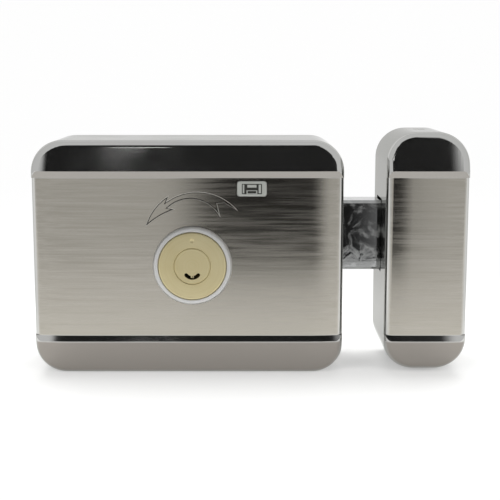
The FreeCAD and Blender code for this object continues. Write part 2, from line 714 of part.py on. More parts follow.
def turn_about_key(shape, degrees):
    """Turn counter-clockwise as seen from the front."""
    copy = shape.copy()
    copy.rotate(V(KEY_X, 0, KEY_Z), V(0, -1, 0), degrees)
    return copy


def bow_tie(y0, y1):
    """Slot in which the tailpiece turns freely through the lost motion before it drives the hub."""
    reach = math.hypot(TAIL_WIDTH, TAIL_THICK) / 2 + BOW_TIE_FIT
    half = TAIL_THICK / 2 + BOW_TIE_FIT / 2
    bar = box(KEY_X - half, KEY_X + half, y0, y1, KEY_Z - reach, KEY_Z + reach)
    round_bar = bar.common(rod_y(KEY_X, KEY_Z, 2 * reach, y0, y1))
    slot = round_bar.fuse(turn_about_key(round_bar, -LOST_MOTION))
    for side in (0, 180):
        slot = slot.fuse(pie(reach, side + 90 - LOST_MOTION, side + 90, y0, y1))
    return slot


def cam_hub():
    gear = gear_blank(HUB_TEETH, math.pi / 2, KEY_X, KEY_Z)
    sector = pie(HUB_R + 2 * MODULE, SECTOR_START, SECTOR_END, GEAR_FRONT_Y, GEAR_BACK_Y)
    hub = gear.common(sector)
    hub = hub.fuse(rod_y(KEY_X, KEY_Z, HUB_RIM_D, GEAR_FRONT_Y, GEAR_BACK_Y))
    hub = hub.fuse(rod_y(KEY_X, KEY_Z, HUB_COLLAR_D, GEAR_FRONT_Y - 1, -PLATE - 0.3))
    hub = hub.fuse(rod_y(KEY_X, KEY_Z, HUB_JOURNAL_D, -PLATE - 1, -0.3))
    lightening = hub_lightening()
    hub = hub.cut(bow_tie(GEAR_FRONT_Y - 2, 1)).cut(lightening)
    return hub.removeSplitter()


def hub_lightening():
    """Round holes that lighten the toothed sector."""
    holes = []
    radius = (HUB_RIM_D / 2 + HUB_R) / 2 - 0.6
    for angle in (0, 45, 90):
        a = math.radians(angle)
        holes.append(rod_y(KEY_X + radius * math.cos(a), KEY_Z + radius * math.sin(a), 3.0,
                           GEAR_FRONT_Y - 1, GEAR_BACK_Y + 1))
    return Part.makeCompound(holes)


def drive_pinion():
    gear = gear_blank(PINION_TEETH, -math.pi / 2, PINION_X, PINION_Z)
    boss = rod_y(PINION_X, PINION_Z, 8.0, GEAR_BACK_Y, GEAR_BACK_Y + 2.0)
    return gear.fuse(boss).cut(motor_shaft_blank(NECK_FIT)).removeSplitter()


def motor_shaft_blank(grow):
    shaft = rod_y(PINION_X, PINION_Z, SHAFT_D + 2 * grow, BRACKET_FRONT_Y, GEAR_BACK_Y + 2.0)
    flat = box(PINION_X - SHAFT_D, PINION_X + SHAFT_D, GEAR_FRONT_Y, 0,
               PINION_Z + SHAFT_D / 2 - 0.5 + grow, PINION_Z + SHAFT_D)
    return shaft.cut(flat)


def motor_shaft():
    return motor_shaft_blank(0.0)


def rack_points(first_x, last_x, gear_x, pitch_z, outward, addendum):
    """Rack teeth from left to right; a gear tooth stands in the space above or below gear_x."""
    pitch = math.pi * MODULE
    lean = math.tan(math.radians(PRESSURE_ANGLE))
    half = (pitch / 2 - BACKLASH) / 2
    tip_z = pitch_z + outward * addendum * MODULE
    root_z = pitch_z - outward * DEDENDUM * MODULE
    tip_half = half - addendum * MODULE * lean
    root_half = half + DEDENDUM * MODULE * lean
    points = []
    index = math.ceil((first_x - gear_x) / pitch - 0.5)
    while gear_x + (index + 0.5) * pitch <= last_x:
        middle = gear_x + (index + 0.5) * pitch
        points += [(middle - root_half, root_z), (middle - tip_half, tip_z),
                   (middle + tip_half, tip_z), (middle + root_half, root_z)]
        index += 1
    return points


def bolt_carriage():
    lower = rack_points(KEY_X - 9, KEY_X + BOLT_TRAVEL + 9, KEY_X, LOWER_PITCH_Z, -1, 1.0)
    upper = rack_points(PINION_X - 7, PINION_X + BOLT_TRAVEL + 7, PINION_X, UPPER_PITCH_Z, 1, RACK_ADDENDUM)
    right = BOLT_REAR + TONGUE
    outline = [(CARRIAGE_LEFT, BAR_LOW)] + lower + [(right, BAR_LOW), (right, BAR_HIGH)]
    outline += upper[::-1] + [(CARRIAGE_LEFT, BAR_HIGH)]
    corners = [V(x, GEAR_FRONT_Y, z) for x, z in outline]
    face = Part.Face(Part.makePolygon(corners + corners[:1]))
    bar = face.extrude(V(0, GEAR_THICK, 0))
    left_end = [e for e in bar.Edges if e.BoundBox.XMax < CARRIAGE_LEFT + 0.01 and e.BoundBox.YLength > 1]
    bar = bar.makeFillet(2.0, left_end)
    gap = POST_D / 2 + POST_FIT
    for x in POST_X:
        bar = bar.cut(slab(x - gap, x + BOLT_TRAVEL + gap, BAR_Z - gap, BAR_Z + gap, gap - 0.01,
                           GEAR_FRONT_Y - 1, GEAR_BACK_Y + 1))
    for x in tongue_screw_points():
        bar = bar.cut(rod_y(x, BAR_Z, M2[0], GEAR_FRONT_Y - 1, GEAR_BACK_Y + 1))
        bar = bar.cut(rod_y(x, BAR_Z, M2[1] + 2 * SCREW_FIT, TONGUE_SEAT_Y, GEAR_BACK_Y + 1))
    return bar


def tongue_screw_points():
    return [BOLT_REAR + TONGUE * 0.28, BOLT_REAR + TONGUE * 0.75]


def carriage_screws():
    return Part.makeCompound([screw(M2, TONGUE_SCREW, (x, TONGUE_SEAT_Y, BAR_Z), (0, -1, 0))
                              for x in tongue_screw_points()])


def deadbolt():
    bolt = box(BOLT_REAR, BOLT_TIP, BOLT_FRONT_Y, BOLT_BACK_Y, BOLT_LOW, BOLT_TOP)
    long_edges = [e for e in bolt.Edges if e.BoundBox.XLength > 1]
    bolt = bolt.makeChamfer(BOLT_CHAMFER, long_edges)
    tip = [e for e in bolt.Edges if e.BoundBox.XMin > BOLT_TIP - 0.01]
    bolt = bolt.makeChamfer(BOLT_CHAMFER * 0.8, tip)
    pocket = box(BOLT_REAR - 1, BOLT_REAR + TONGUE, GEAR_FRONT_Y, GEAR_BACK_Y + 1,
                 BAR_LOW - TONGUE_FIT, BAR_HIGH + TONGUE_FIT)
    tools = [pocket]
    for z in SPRING_Z:
        tools.append(rod_x(SPRING_Y, z, SPRING_BORE_D, BOLT_REAR - 1, BOLT_REAR + SPRING_BORE_DEPTH))
    for x in tongue_screw_points():
        tools.append(rod_y(x, BAR_Z, M2[0], TONGUE_SEAT_Y - TONGUE_SCREW, GEAR_FRONT_Y + 1))
    return bolt.cut(Part.makeCompound(tools))


def guide_posts():
    """Shouldered posts riveted in the back plate, whose heads hold the carriage down."""
    posts = []
    head_y = GEAR_FRONT_Y - 0.3
    for x in POST_X:
        shank = rod_y(x, BAR_Z, POST_D, head_y, -PLATE)
        head = rod_y(x, BAR_Z, POST_HEAD_D, head_y - 1.2, head_y)
        collar = rod_y(x, BAR_Z, POST_HEAD_D, GEAR_BACK_Y + 0.2, -PLATE)
        posts.append(shank.fuse(head).fuse(collar).removeSplitter())
    return Part.makeCompound(posts)


def bolt_guide():
    x0, x1, z0, z1 = guide_span()
    block = box(x0, x1, BOLT_FRONT_Y - GUIDE_FRONT, -PLATE, z0, z1)
    front = [e for e in block.Edges if e.BoundBox.YMax < BOLT_FRONT_Y and e.BoundBox.XLength > 1]
    block = block.makeFillet(2.5, front)
    way = box(x0 - 1, x1 + 1, BOLT_FRONT_Y - BOLT_FIT, BOLT_BACK_Y + BOLT_FIT,
              BOLT_LOW - BOLT_FIT, BOLT_TOP + BOLT_FIT)
    block = block.cut(way)
    for x, z in guide_screw_points():
        block = block.cut(rod_y(x, z, M3[0], -BLOCK_SCREW - 0.5, 0))
    return block


def block_screws(points):
    """Flat-head screws that hold a block from behind its plate."""
    return Part.makeCompound([flat_screw(BLOCK_SCREW, (x, 0, z), (0, -1, 0)) for x, z in points])


def guide_screws():
    return block_screws(guide_screw_points())


def spring_rods():
    wall_x = KEY_X + BRIDGE_HALF
    rods = []
    for z in SPRING_Z:
        rod = rod_x(SPRING_Y, z, ROD_D, wall_x - BRIDGE_THICK, wall_x + ROD_REACH)
        tip = [e for e in rod.Edges if e.BoundBox.XMin > wall_x + ROD_REACH - 0.01]
        rods.append(rod.makeChamfer(0.6, tip))
    return Part.makeCompound(rods)


def bolt_springs():
    """Compression springs between the bridge and the bolt, at the bolt's rest."""
    start = KEY_X + BRIDGE_HALF + 0.05
    end = BOLT_REAR + SPRING_BORE_DEPTH - 0.05
    mean_r = (SPRING_D - SPRING_WIRE) / 2
    length = end - start - SPRING_WIRE
    springs = []
    for z in SPRING_Z:
        helix = Part.makeHelix(length / SPRING_TURNS, length, mean_r)
        corners = [V(mean_r + SPRING_WIRE / 2 * math.cos(math.radians(60 * k)), 0,
                     SPRING_WIRE / 2 * math.sin(math.radians(60 * k))) for k in range(7)]
        section = Part.makePolygon(corners)
        coil = Part.Wire(helix).makePipeShell([section], True, True)
        coil.Placement = FreeCAD.Placement(V(start + SPRING_WIRE / 2, SPRING_Y, z),
                                           FreeCAD.Rotation(V(0, 0, 1), V(1, 0, 0)))
        springs.append(coil)
    return Part.makeCompound(springs)


# Gear motor

def motor_gearbox():
    rear = BRACKET_FRONT_Y
    front = rear - GEARBOX_LENGTH
    body = rod_y(PINION_X, PINION_Z, MOTOR_D, front, rear)
    for y in (front + 2.2, rear - 2.2):
        groove = rod_y(PINION_X, PINION_Z, MOTOR_D + 2, y - 0.4, y + 0.4)
        body = body.cut(groove.cut(rod_y(PINION_X, PINION_Z, MOTOR_D - 0.8, y - 1, y + 1)))
    body = body.fuse(rod_y(PINION_X, PINION_Z, MOTOR_BOSS_D, rear - 1, rear + BRACKET_THICK))
    body = body.cut(rod_y(PINION_X, PINION_Z, SHAFT_D + 2 * PLUG_FIT, rear - 3, rear + BRACKET_THICK + 1))
    for x, z in motor_screw_points():
        body = body.cut(rod_y(x, z, M2[0], rear - 4, rear + 1))
    return body.removeSplitter()


def motor_screw_points():
    return [(PINION_X, PINION_Z + MOTOR_SCREW_R), (PINION_X, PINION_Z - MOTOR_SCREW_R)]


def motor_can():
    rear = BRACKET_FRONT_Y - GEARBOX_LENGTH
    front = rear - MOTOR_LENGTH
    can = rod_y(PINION_X, PINION_Z, MOTOR_CAN_D, front, rear)
    sides = []
    for sign in (-1, 1):
        flat_x = PINION_X + sign * (MOTOR_CAN_D / 2 - CAN_FLAT)
        outer_x = PINION_X + sign * MOTOR_CAN_D
        sides.append(wall_between(flat_x, outer_x, front, rear - 1, PINION_Z - MOTOR_D, PINION_Z + MOTOR_D))
    can = can.cut(Part.makeCompound(sides))
    return can.fuse(rod_y(PINION_X, PINION_Z, 5.0, front - 0.8, front)).removeSplitter()


def motor_bracket():
    rear = BRACKET_FRONT_Y + BRACKET_THICK
    left, right = PINION_X - BRACKET_HALF, PINION_X + BRACKET_HALF
    low_plate = PINION_Z - MOTOR_D / 2 + 1
    shape = slab(left, right, low_plate, BRACKET_HIGH, 1.5, BRACKET_FRONT_Y, rear)
    for sign, x in ((-1, left), (1, right)):
        high = BRACKET_HIGH - 1
        foot_y = -PLATE - BRACKET_THICK
        side = wall_between(x, x - sign * BRACKET_THICK, BRACKET_FRONT_Y, -PLATE, BRACKET_LOW, high)
        foot = wall_between(x, x + sign * BRACKET_FOOT, foot_y, -PLATE, high - 8, high)
        shape = shape.fuse([side, foot])
    boss_hole_d = MOTOR_BOSS_D + 2 * SCREW_FIT
    shape = shape.cut(rod_y(PINION_X, PINION_Z, boss_hole_d, BRACKET_FRONT_Y - 1, rear + 1))
    for x, z in motor_screw_points():
        shape = shape.cut(rod_y(x, z, M2[0] + 2 * SCREW_FIT, BRACKET_FRONT_Y - 1, rear + 1))
    for x, z in foot_points()[1]:
        shape = shape.cut(rod_y(x, z, M3[0] + 2 * SCREW_FIT, -PLATE - BRACKET_THICK - 1, 0))
    return shape.removeSplitter()


def motor_screws():
    rear = BRACKET_FRONT_Y + BRACKET_THICK
    return Part.makeCompound([screw(M2, 4.5, (x, rear, z), (0, -1, 0)) for x, z in motor_screw_points()])


# Circuit board

def standoff_points():
    reach = CASE_TOP - STANDOFF_MARGIN
    return [(x, sign * reach) for x in STANDOFF_X for sign in (-1, 1)]


def circuit_board():
    board = slab(BOARD_X[0], BOARD_X[1], BOARD_LOW, BOARD_TOP, 2.0, BOARD_FRONT_Y, BOARD_REAR_Y)
    for x, z in standoff_points():
        board = board.cut(rod_y(x, z, M2[0] + 2 * SCREW_FIT, BOARD_FRONT_Y - 1, BOARD_REAR_Y + 1))
    return board


def board_standoffs():
    posts = []
    for x, z in standoff_points():
        post = Part.makePolygon([V(x + STANDOFF_D / 2 * math.cos(math.radians(60 * k)), BOARD_REAR_Y,
                                   z + STANDOFF_D / 2 * math.sin(math.radians(60 * k))) for k in range(7)])
        body = Part.Face(post).extrude(V(0, -PLATE - BOARD_REAR_Y, 0))
        posts.append(body.cut(rod_y(x, z, M2[0], BOARD_REAR_Y - 1, BOARD_REAR_Y + 5)))
    return Part.makeCompound(posts)


def board_screws():
    return Part.makeCompound([screw(M2, BOARD_THICK + 4, (x, BOARD_FRONT_Y, z), (0, 1, 0))
                              for x, z in standoff_points()])


def terminal_block():
    middle = (BOARD_X[0] + BOARD_X[1]) / 2
    half = TERMINAL_POLES * TERMINAL_PITCH / 2
    front = BOARD_FRONT_Y - TERMINAL_HEIGHT
    z0, z1 = TERMINAL_Z - TERMINAL_DEPTH / 2, TERMINAL_Z + TERMINAL_DEPTH / 2
    body = box(middle - half, middle + half, front, BOARD_FRONT_Y, z0, z1)
    slope = [(front - 1, z0 + 2), (front + 2.5, z0 - 1), (front - 1, z0 - 1)]
    body = body.cut(profile_along_x(slope, middle - half - 1, middle + half + 1))
    for pole in range(TERMINAL_POLES):
        x = middle - half + (pole + 0.5) * TERMINAL_PITCH
        body = body.cut(rod_y(x, TERMINAL_Z + 0.6, 2.4, front - 1, front + 4))
        body = body.cut(box(x - 1.1, x + 1.1, front + 3.6, front + 6.4, z0 - 1, z0 + 4))
    return body


def terminal_screws():
    middle = (BOARD_X[0] + BOARD_X[1]) / 2
    half = TERMINAL_POLES * TERMINAL_PITCH / 2
    seat = BOARD_FRONT_Y - TERMINAL_HEIGHT + 4
    screws = []
    for pole in range(TERMINAL_POLES):
        x = middle - half + (pole + 0.5) * TERMINAL_PITCH
        head = rod_y(x, TERMINAL_Z + 0.6, 2.2, seat - 1.8, seat)
        slot = box(x - 1.2, x + 1.2, seat - 2, seat - 1.2, TERMINAL_Z + 0.4, TERMINAL_Z + 0.8)
        screws.append(head.cut(slot))
    return Part.makeCompound(screws)


def storage_capacitors():
    cans = []
    for x in CAN_X:
        can = rod_y(x, CAN_Z, CAN_D, BOARD_FRONT_Y - CAN_HEIGHT, BOARD_FRONT_Y)
        front = [e for e in can.Edges if e.BoundBox.YMax < BOARD_FRONT_Y - CAN_HEIGHT + 0.01]
        cans.append(can.makeChamfer(0.5, front))
    return Part.makeCompound(cans)


def control_chip():
    middle = (BOARD_X[0] + BOARD_X[1]) / 2
    body = box(middle - 4, middle + 4, BOARD_FRONT_Y - 1.8, BOARD_FRONT_Y - 0.2, CHIP_Z - 6, CHIP_Z + 6)
    body = body.makeChamfer(0.3, [e for e in body.Edges if e.BoundBox.YMax < BOARD_FRONT_Y - 1.7])
    for row in range(8):
        z = CHIP_Z - 4.9 + row * 1.4
        leads = box(middle - 5.4, middle + 5.4, BOARD_FRONT_Y - 0.5, BOARD_FRONT_Y, z - 0.25, z + 0.25)
        body = body.fuse(leads)
    return body.removeSplitter()


def status_led():
    front = PANEL_Y + WALL + WINDOW_FLANGE + LED_AIR
    lamp = box(WINDOW_X - LED_W / 2, WINDOW_X + LED_W / 2, front, BOARD_FRONT_Y, WINDOW_Z - LED_H / 2,
               WINDOW_Z + LED_H / 2)
    return lamp.makeFillet(0.5, [e for e in lamp.Edges if e.BoundBox.YLength > 1])


def status_window():
    front = PANEL_Y - WINDOW_PROUD
    seat = PANEL_Y + WALL
    pane = window_slab(0, front, seat)
    pane = pane.makeChamfer(WINDOW_BEVEL, [e for e in pane.Edges if e.BoundBox.YMax < front + 0.01])
    flange = window_slab(WINDOW_FLANGE, seat, seat + WINDOW_FLANGE)
    return pane.fuse(flange).removeSplitter()


def window_slab(grow, y0, y1):
    """Rounded rectangle of the window's outline, grown all round."""
    half_w, half_h = WINDOW_W / 2 + grow, WINDOW_H / 2 + grow
    return slab(WINDOW_X - half_w, WINDOW_X + half_w, WINDOW_Z - half_h, WINDOW_Z + half_h,
                WINDOW_R + grow, y0, y1)


def cable_grommet():
    """Rubber grommet in the back plate's cable hole; its rear stays flush with the back plane."""
    waist = rod_y(CABLE_X, CABLE_Z, GROMMET_D, -PLATE, 0)
    lip = rod_y(CABLE_X, CABLE_Z, GROMMET_D + 4, -PLATE - GROMMET_LIP, -PLATE)
    front_y = -PLATE - GROMMET_LIP
    lip = lip.makeChamfer(GROMMET_LIP * 0.5, [e for e in lip.Edges if e.BoundBox.YMax < front_y + 0.01])
    bore = rod_y(CABLE_X, CABLE_Z, CABLE_D, front_y - 1, 1)
    return waist.fuse(lip).cut(bore).removeSplitter()


def door_sensor():
    sx, sy, sz = SENSOR_SIZE
    x1 = CASE_RIGHT - WALL - 0.3
    body = box(x1 - sx, x1, -PLATE - sy, -PLATE, SENSOR_Z - sz / 2, SENSOR_Z + sz / 2)
    return body.makeFillet(1.0, [e for e in body.Edges if e.BoundBox.YMax < -PLATE - sy + 0.01])


# Strike box

def strike_plate():
    plate = plate_blank(STRIKE_LEFT, STRIKE_RIGHT, STRIKE_LOW, STRIKE_TOP, STRIKE_CORNER)
    plate = plate.fuse(screw_tab(STRIKE_X, STRIKE_LOW, -1)).fuse(screw_tab(STRIKE_X, STRIKE_TOP, 1))
    tools = [rod_y(x, z, MOUNT_HOLE_D, -PLATE - 1, 1)
             for x, z in grid(STRIKE_X, STRIKE_RISE, STRIKE_HOLES_X, STRIKE_HOLES_Z)]
    for x, z in keeper_screw_points():
        tools.append(countersink(PLATE, (x, 0, z), (0, -1, 0)))
    return plate.cut(Part.makeCompound(tools)).removeSplitter()


def keeper_screw_points():
    x0 = STRIKE_LEFT + WALL + 0.1
    x = x0 + (POCKET_DEPTH + KEEPER_DEPTH) / 2
    return [(x, BOLT_Z - KEEPER_SCREW_Z), (x, BOLT_Z + KEEPER_SCREW_Z)]


def strike_keeper():
    """Steel keeper block on the strike plate, with the pocket that the bolt enters."""
    x0 = STRIKE_LEFT + WALL + 0.1
    rim = KEEPER_RIM + POCKET_FIT
    block = box(x0, x0 + KEEPER_DEPTH, BOLT_FRONT_Y - rim, -PLATE, BOLT_LOW - rim, BOLT_TOP + rim)
    front = [e for e in block.Edges if e.BoundBox.YMax < BOLT_FRONT_Y and e.BoundBox.XLength > 1]
    block = block.makeFillet(3.0, front)
    pocket = box(x0 - 1, x0 + POCKET_DEPTH, BOLT_FRONT_Y - POCKET_FIT, BOLT_BACK_Y + POCKET_FIT,
                 BOLT_LOW - POCKET_FIT, BOLT_TOP + POCKET_FIT)
    block = block.cut(pocket)
    for x, z in keeper_screw_points():
        block = block.cut(rod_y(x, z, M3[0], -BLOCK_SCREW - 0.5, 0))
    return block


def keeper_screws():
    return block_screws(keeper_screw_points())


def door_magnet():
    x = STRIKE_LEFT + WALL + MAGNET_D / 2 + 0.3
    disc = rod_y(x, SENSOR_Z, MAGNET_D, -PLATE - MAGNET_THICK, -PLATE)
    return disc.makeChamfer(0.4, [e for e in disc.Edges if e.BoundBox.YMax < -PLATE - MAGNET_THICK + 0.01])


NODES = [
    case_cover, back_plate, case_screws, trim_ring, cylinder_housing, key_plug, plug_clip,
    tailpiece, cylinder_bridge, cylinder_screws, foot_screws, cam_hub, deadbolt, bolt_carriage,
    carriage_screws, guide_posts, bolt_guide, guide_screws, spring_rods, bolt_springs, motor_can,
    motor_gearbox, motor_shaft, drive_pinion, motor_bracket, motor_screws, circuit_board,
    board_standoffs, board_screws, terminal_block, terminal_screws, storage_capacitors,
    control_chip, status_led, status_window, cable_grommet, door_sensor, strike_cover, strike_plate,
    strike_screws, strike_keeper, keeper_screws, door_magnet,
]


os.makedirs("parts", exist_ok=True)
for make in NODES:
    shape = make()
    count = len(shape.Solids)
    print(make.__name__, "solids", count, "volume", round(shape.Volume, 1), "valid", shape.isValid())
    shape.exportStep("parts/" + make.__name__ + ".step")
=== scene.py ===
"""Electric gate lock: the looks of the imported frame.

The lock case and its strike box are drawn from stainless sheet, with a brushed panel between
polished facets. Everything is in metres, in the frame of the CAD model: +X towards the strike,
+Z up, and the front faces -Y.
"""

import json
import logging
import math
from collections.abc import Callable, Iterable, Sequence
from dataclasses import dataclass, field
from enum import Enum

import bmesh
import bpy
from mathutils import Matrix, Vector

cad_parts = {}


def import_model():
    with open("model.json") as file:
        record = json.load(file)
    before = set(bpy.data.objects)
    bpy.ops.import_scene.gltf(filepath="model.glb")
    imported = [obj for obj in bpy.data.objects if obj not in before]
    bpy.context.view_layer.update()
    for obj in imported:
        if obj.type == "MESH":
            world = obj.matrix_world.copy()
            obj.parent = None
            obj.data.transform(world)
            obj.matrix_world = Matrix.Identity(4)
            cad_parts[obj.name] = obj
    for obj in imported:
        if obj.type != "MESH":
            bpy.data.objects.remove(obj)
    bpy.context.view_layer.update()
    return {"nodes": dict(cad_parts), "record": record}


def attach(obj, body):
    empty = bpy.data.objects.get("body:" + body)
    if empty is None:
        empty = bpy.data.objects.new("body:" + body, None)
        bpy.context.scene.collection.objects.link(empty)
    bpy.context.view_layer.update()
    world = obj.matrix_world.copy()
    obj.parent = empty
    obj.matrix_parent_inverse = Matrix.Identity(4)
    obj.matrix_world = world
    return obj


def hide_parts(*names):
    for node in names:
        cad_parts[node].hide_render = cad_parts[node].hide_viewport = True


LOG = logging.getLogger("gate_lock")
MM = 0.001

Tree = bpy.types.NodeTree
Socket = bpy.types.NodeSocket
Piece = bpy.types.Object
Material = bpy.types.Material
BMesh = bmesh.types.BMesh
BMEdge = bmesh.types.BMEdge
Point = tuple[float, float]


def linear(hex_colour: str) -> tuple[float, float, float, float]:
    """Turn an sRGB hex colour into linear light.

    Args:
        hex_colour: six hex digits after a hash sign.

    Returns:
        Red, green, blue and an alpha of 1.
    """
    parts = [int(hex_colour[i:i + 2], 16) / 255 for i in (1, 3, 5)]
    red, green, blue = (c / 12.92 if c <= 0.04045 else ((c + 0.055) / 1.055) ** 2.4 for c in parts)
    return (red, green, blue, 1.0)


def add_node(tree: Tree, kind: str, settings: dict | None = None,
             links: dict | None = None) -> bpy.types.Node:
    """Add one shader node.

    Args:
        tree: the material's node tree.
        kind: the node's type name after "ShaderNode".
        settings: attribute names, or input sockets by name or number, and their values.
        links: input sockets by name or number, and the output sockets that feed them.

    Returns:
        The new node.
    """
    node = tree.nodes.new("ShaderNode" + kind)
    for key, value in (settings or {}).items():
        if isinstance(key, str) and hasattr(node, key):
            setattr(node, key, value)
        else:
            node.inputs[key].default_value = value
    for key, socket in (links or {}).items():
        tree.links.new(socket, node.inputs[key])
    return node


def start_material(name: str) -> tuple[Material, Tree, Socket]:
    """Start a node material.

    Args:
        name: the material's name.

    Returns:
        The material, its empty node tree and the object coordinates.
    """
    material = bpy.data.materials.new(name)
    material.use_nodes = True
    tree = material.node_tree
    tree.nodes.clear()
    return material, tree, add_node(tree, "TexCoord").outputs["Object"]


def spread(tree: Tree, value: Socket, span: Point, onto: Point = (0.0, 1.0),
           way: str = "LINEAR") -> bpy.types.Node:
    """Spread one span of a value onto another, and hold it at the ends.

    Args:
        tree: the material's node tree.
        value: the value.
        span: where the value's span starts and ends.
        onto: what the two ends become.
        way: the kind of ramp between them.

    Returns:
        The node.
    """
    ends = {"From Min": span[0], "From Max": span[1], "To Min": onto[0], "To Max": onto[1]}
    return add_node(tree, "MapRange", {"interpolation_type": way, **ends}, {"Value": value})


def multiply(tree: Tree, first: Socket, second: Socket) -> Socket:
    """Multiply two values of a material."""
    return add_node(tree, "Math", {"operation": "MULTIPLY"}, {0: first, 1: second}).outputs[0]


def smooth_shade(piece: Piece, sharp_degrees: float = 32.0) -> None:
    """Shade a piece smoothly, keep its sharp edges, and let its flat faces stay flat.

    Args:
        piece: the mesh object.
        sharp_degrees: edges that turn more than this stay sharp.
    """
    mesh = piece.data
    mesh.shade_smooth()
    mesh.set_sharp_from_angle(angle=math.radians(sharp_degrees))
    weighted = piece.modifiers.new("flat faces", "WEIGHTED_NORMAL")
    weighted.keep_sharp = True
    weighted.weight = 60


def finish_mesh(name: str, bm: BMesh) -> Piece:
    """Turn a bmesh into an object at the origin, its faces pointing outwards.

    Args:
        name: the piece's name.
        bm: the bmesh, which is freed.

    Returns:
        The linked mesh object.
    """
    bmesh.ops.remove_doubles(bm, verts=bm.verts, dist=1e-7)
    bmesh.ops.recalc_face_normals(bm, faces=bm.faces)
    mesh = bpy.data.meshes.new(name)
    bm.to_mesh(mesh)
    bm.free()
    piece = bpy.data.objects.new(name, mesh)
    bpy.context.scene.collection.objects.link(piece)
    return piece


def bake_modifiers(piece: Piece) -> Piece:
    """Apply every modifier on a piece to its mesh.

    Args:
        piece: the mesh object.

    Returns:
        The same object, with no modifiers.
    """
    graph = bpy.context.evaluated_depsgraph_get()
    graph.update()
    mesh = bpy.data.meshes.new_from_object(piece.evaluated_get(graph))
    old = piece.data
    piece.modifiers.clear()
    piece.data = mesh
    bpy.data.meshes.remove(old)
    return piece


class Carve(Enum):
    """How a tool shapes the piece that it meets."""

    CUT = "DIFFERENCE"
    JOIN = "UNION"


def carve(piece: Piece, tool: Piece, way: Carve = Carve.CUT) -> Piece:
    """Shape a piece with a closed tool, and remove the tool.

    Args:
        piece: the piece to shape.
        tool: the closed mesh that shapes it.
        way: cut the tool away or join it.

    Returns:
        The shaped piece.
    """
    step = piece.modifiers.new("carve", "BOOLEAN")
    step.operation = way.value
    step.solver = "EXACT"
    step.object = tool
    bake_modifiers(piece)
    mesh = tool.data
    bpy.data.objects.remove(tool)
    bpy.data.meshes.remove(mesh)
    return piece


def block(low: Sequence[float], high: Sequence[float]) -> BMesh:
    """A box between two corners, in millimetres.

    Args:
        low: the lowest corner.
        high: the highest corner.

    Returns:
        A bmesh of the box, in metres.
    """
    bm = bmesh.new()
    bmesh.ops.create_cube(bm, size=1.0)
    size = [(b - a) * MM for a, b in zip(low, high)]
    middle = [(b + a) / 2 * MM for a, b in zip(low, high)]
    bmesh.ops.scale(bm, vec=size, verts=bm.verts)
    bmesh.ops.translate(bm, vec=middle, verts=bm.verts)
    return bm


def round_edges(bm: BMesh, chosen: Iterable[BMEdge], radius: float, segments: int) -> None:
    """Round some edges of a bmesh.

    Args:
        bm: the bmesh.
        chosen: the edges.
        radius: the offset of the rounding in millimetres.
        segments: faces across the rounding.
    """
    bmesh.ops.bevel(bm, geom=list(chosen), offset=radius * MM, offset_type="OFFSET", segments=segments,
                    profile=0.5, affect="EDGES", material=-1, clamp_overlap=True)


def edges_along(bm: BMesh, axis: int) -> list[BMEdge]:
    """The edges of a box that run along one axis.

    Args:
        bm: the bmesh.
        axis: 0 for X, 1 for Y, 2 for Z.

    Returns:
        The edges.
    """
    found = []
    for edge in bm.edges:
        run = (edge.verts[1].co - edge.verts[0].co).normalized()
        if abs(run[axis]) > 0.99:
            found.append(edge)
    return found


def rounded_block(low: Sequence[float], high: Sequence[float], radius: float, segments: int = 8) -> BMesh:
    """A box whose four edges along Y are rounded, in millimetres.

    Args:
        low: the lowest corner.
        high: the highest corner.
        radius: the corner radius seen from the front.
        segments: faces across each corner.

    Returns:
        The bmesh.
    """
    bm = block(low, high)
    round_edges(bm, edges_along(bm, 1), radius, segments)
    return bm


def turned_piece(name: str, outline: Sequence[Point], x: float, z: float,
                 steps: int = 96) -> Piece:
    """Spin an outline about an axis along Y.

    Args:
        name: the piece's name.
        outline: (radius, y) points in millimetres, closed for a ring or from axis to axis for a disc.
        x: the axis's place along X in millimetres.
        z: the axis's place along Z in millimetres.
        steps: faces round the axis.

    Returns:
        The turned piece.
    """
    bm = bmesh.new()
    verts = [bm.verts.new(((x + r) * MM, y * MM, z * MM)) for r, y in outline]
    closed = outline[0][0] > 1e-6
    pairs = list(zip(verts, verts[1:] + verts[:1])) if closed else list(zip(verts, verts[1:]))
    edges = [bm.edges.new(pair) for pair in pairs]
    bmesh.ops.spin(bm, geom=verts + edges, cent=(x * MM, 0, z * MM), axis=(0, 1, 0), dvec=(0, 0, 0),
                   angle=2 * math.pi, steps=steps, use_merge=True, use_duplicate=False)
    return finish_mesh(name, bm)


def push_face(bm: BMesh, corners: Iterable[Sequence[float]],
              push: Sequence[float]) -> list[bmesh.types.BMFace]:
    """Make a face and push it out to a closed solid, in millimetres.

    Args:
        bm: the bmesh that takes the solid.
        corners: the face's corners in order.
        push: how far it goes along X, Y and Z.

    Returns:
        The face at the far end.
    """
    face = bm.faces.new([bm.verts.new([c * MM for c in corner]) for corner in corners])
    pushed = bmesh.ops.extrude_face_region(bm, geom=[face])["geom"]
    moved = [g for g in pushed if isinstance(g, bmesh.types.BMVert)]
    bmesh.ops.translate(bm, vec=[p * MM for p in push], verts=moved)
    return [g for g in pushed if isinstance(g, bmesh.types.BMFace)]


def prism(points: Sequence[Point], x0: float, x1: float) -> Piece:
    """Push a closed (y, z) outline along X, in millimetres.

    Args:
        points: the outline.
        x0: where it starts.
        x1: where it ends.

    Returns:
        A closed tool.
    """
    bm = bmesh.new()
    push_face(bm, [(x0, y, z) for y, z in points], (x1 - x0, 0, 0))
    return finish_mesh("tool", bm)


def tool_rod(x: float, z: float, diameter: float, y0: float, y1: float, steps: int = 64) -> Piece:
    """A round tool along Y, in millimetres."""
    return turned_piece("tool", [(0, y0), (diameter / 2, y0), (diameter / 2, y1), (0, y1)], x, z, steps)


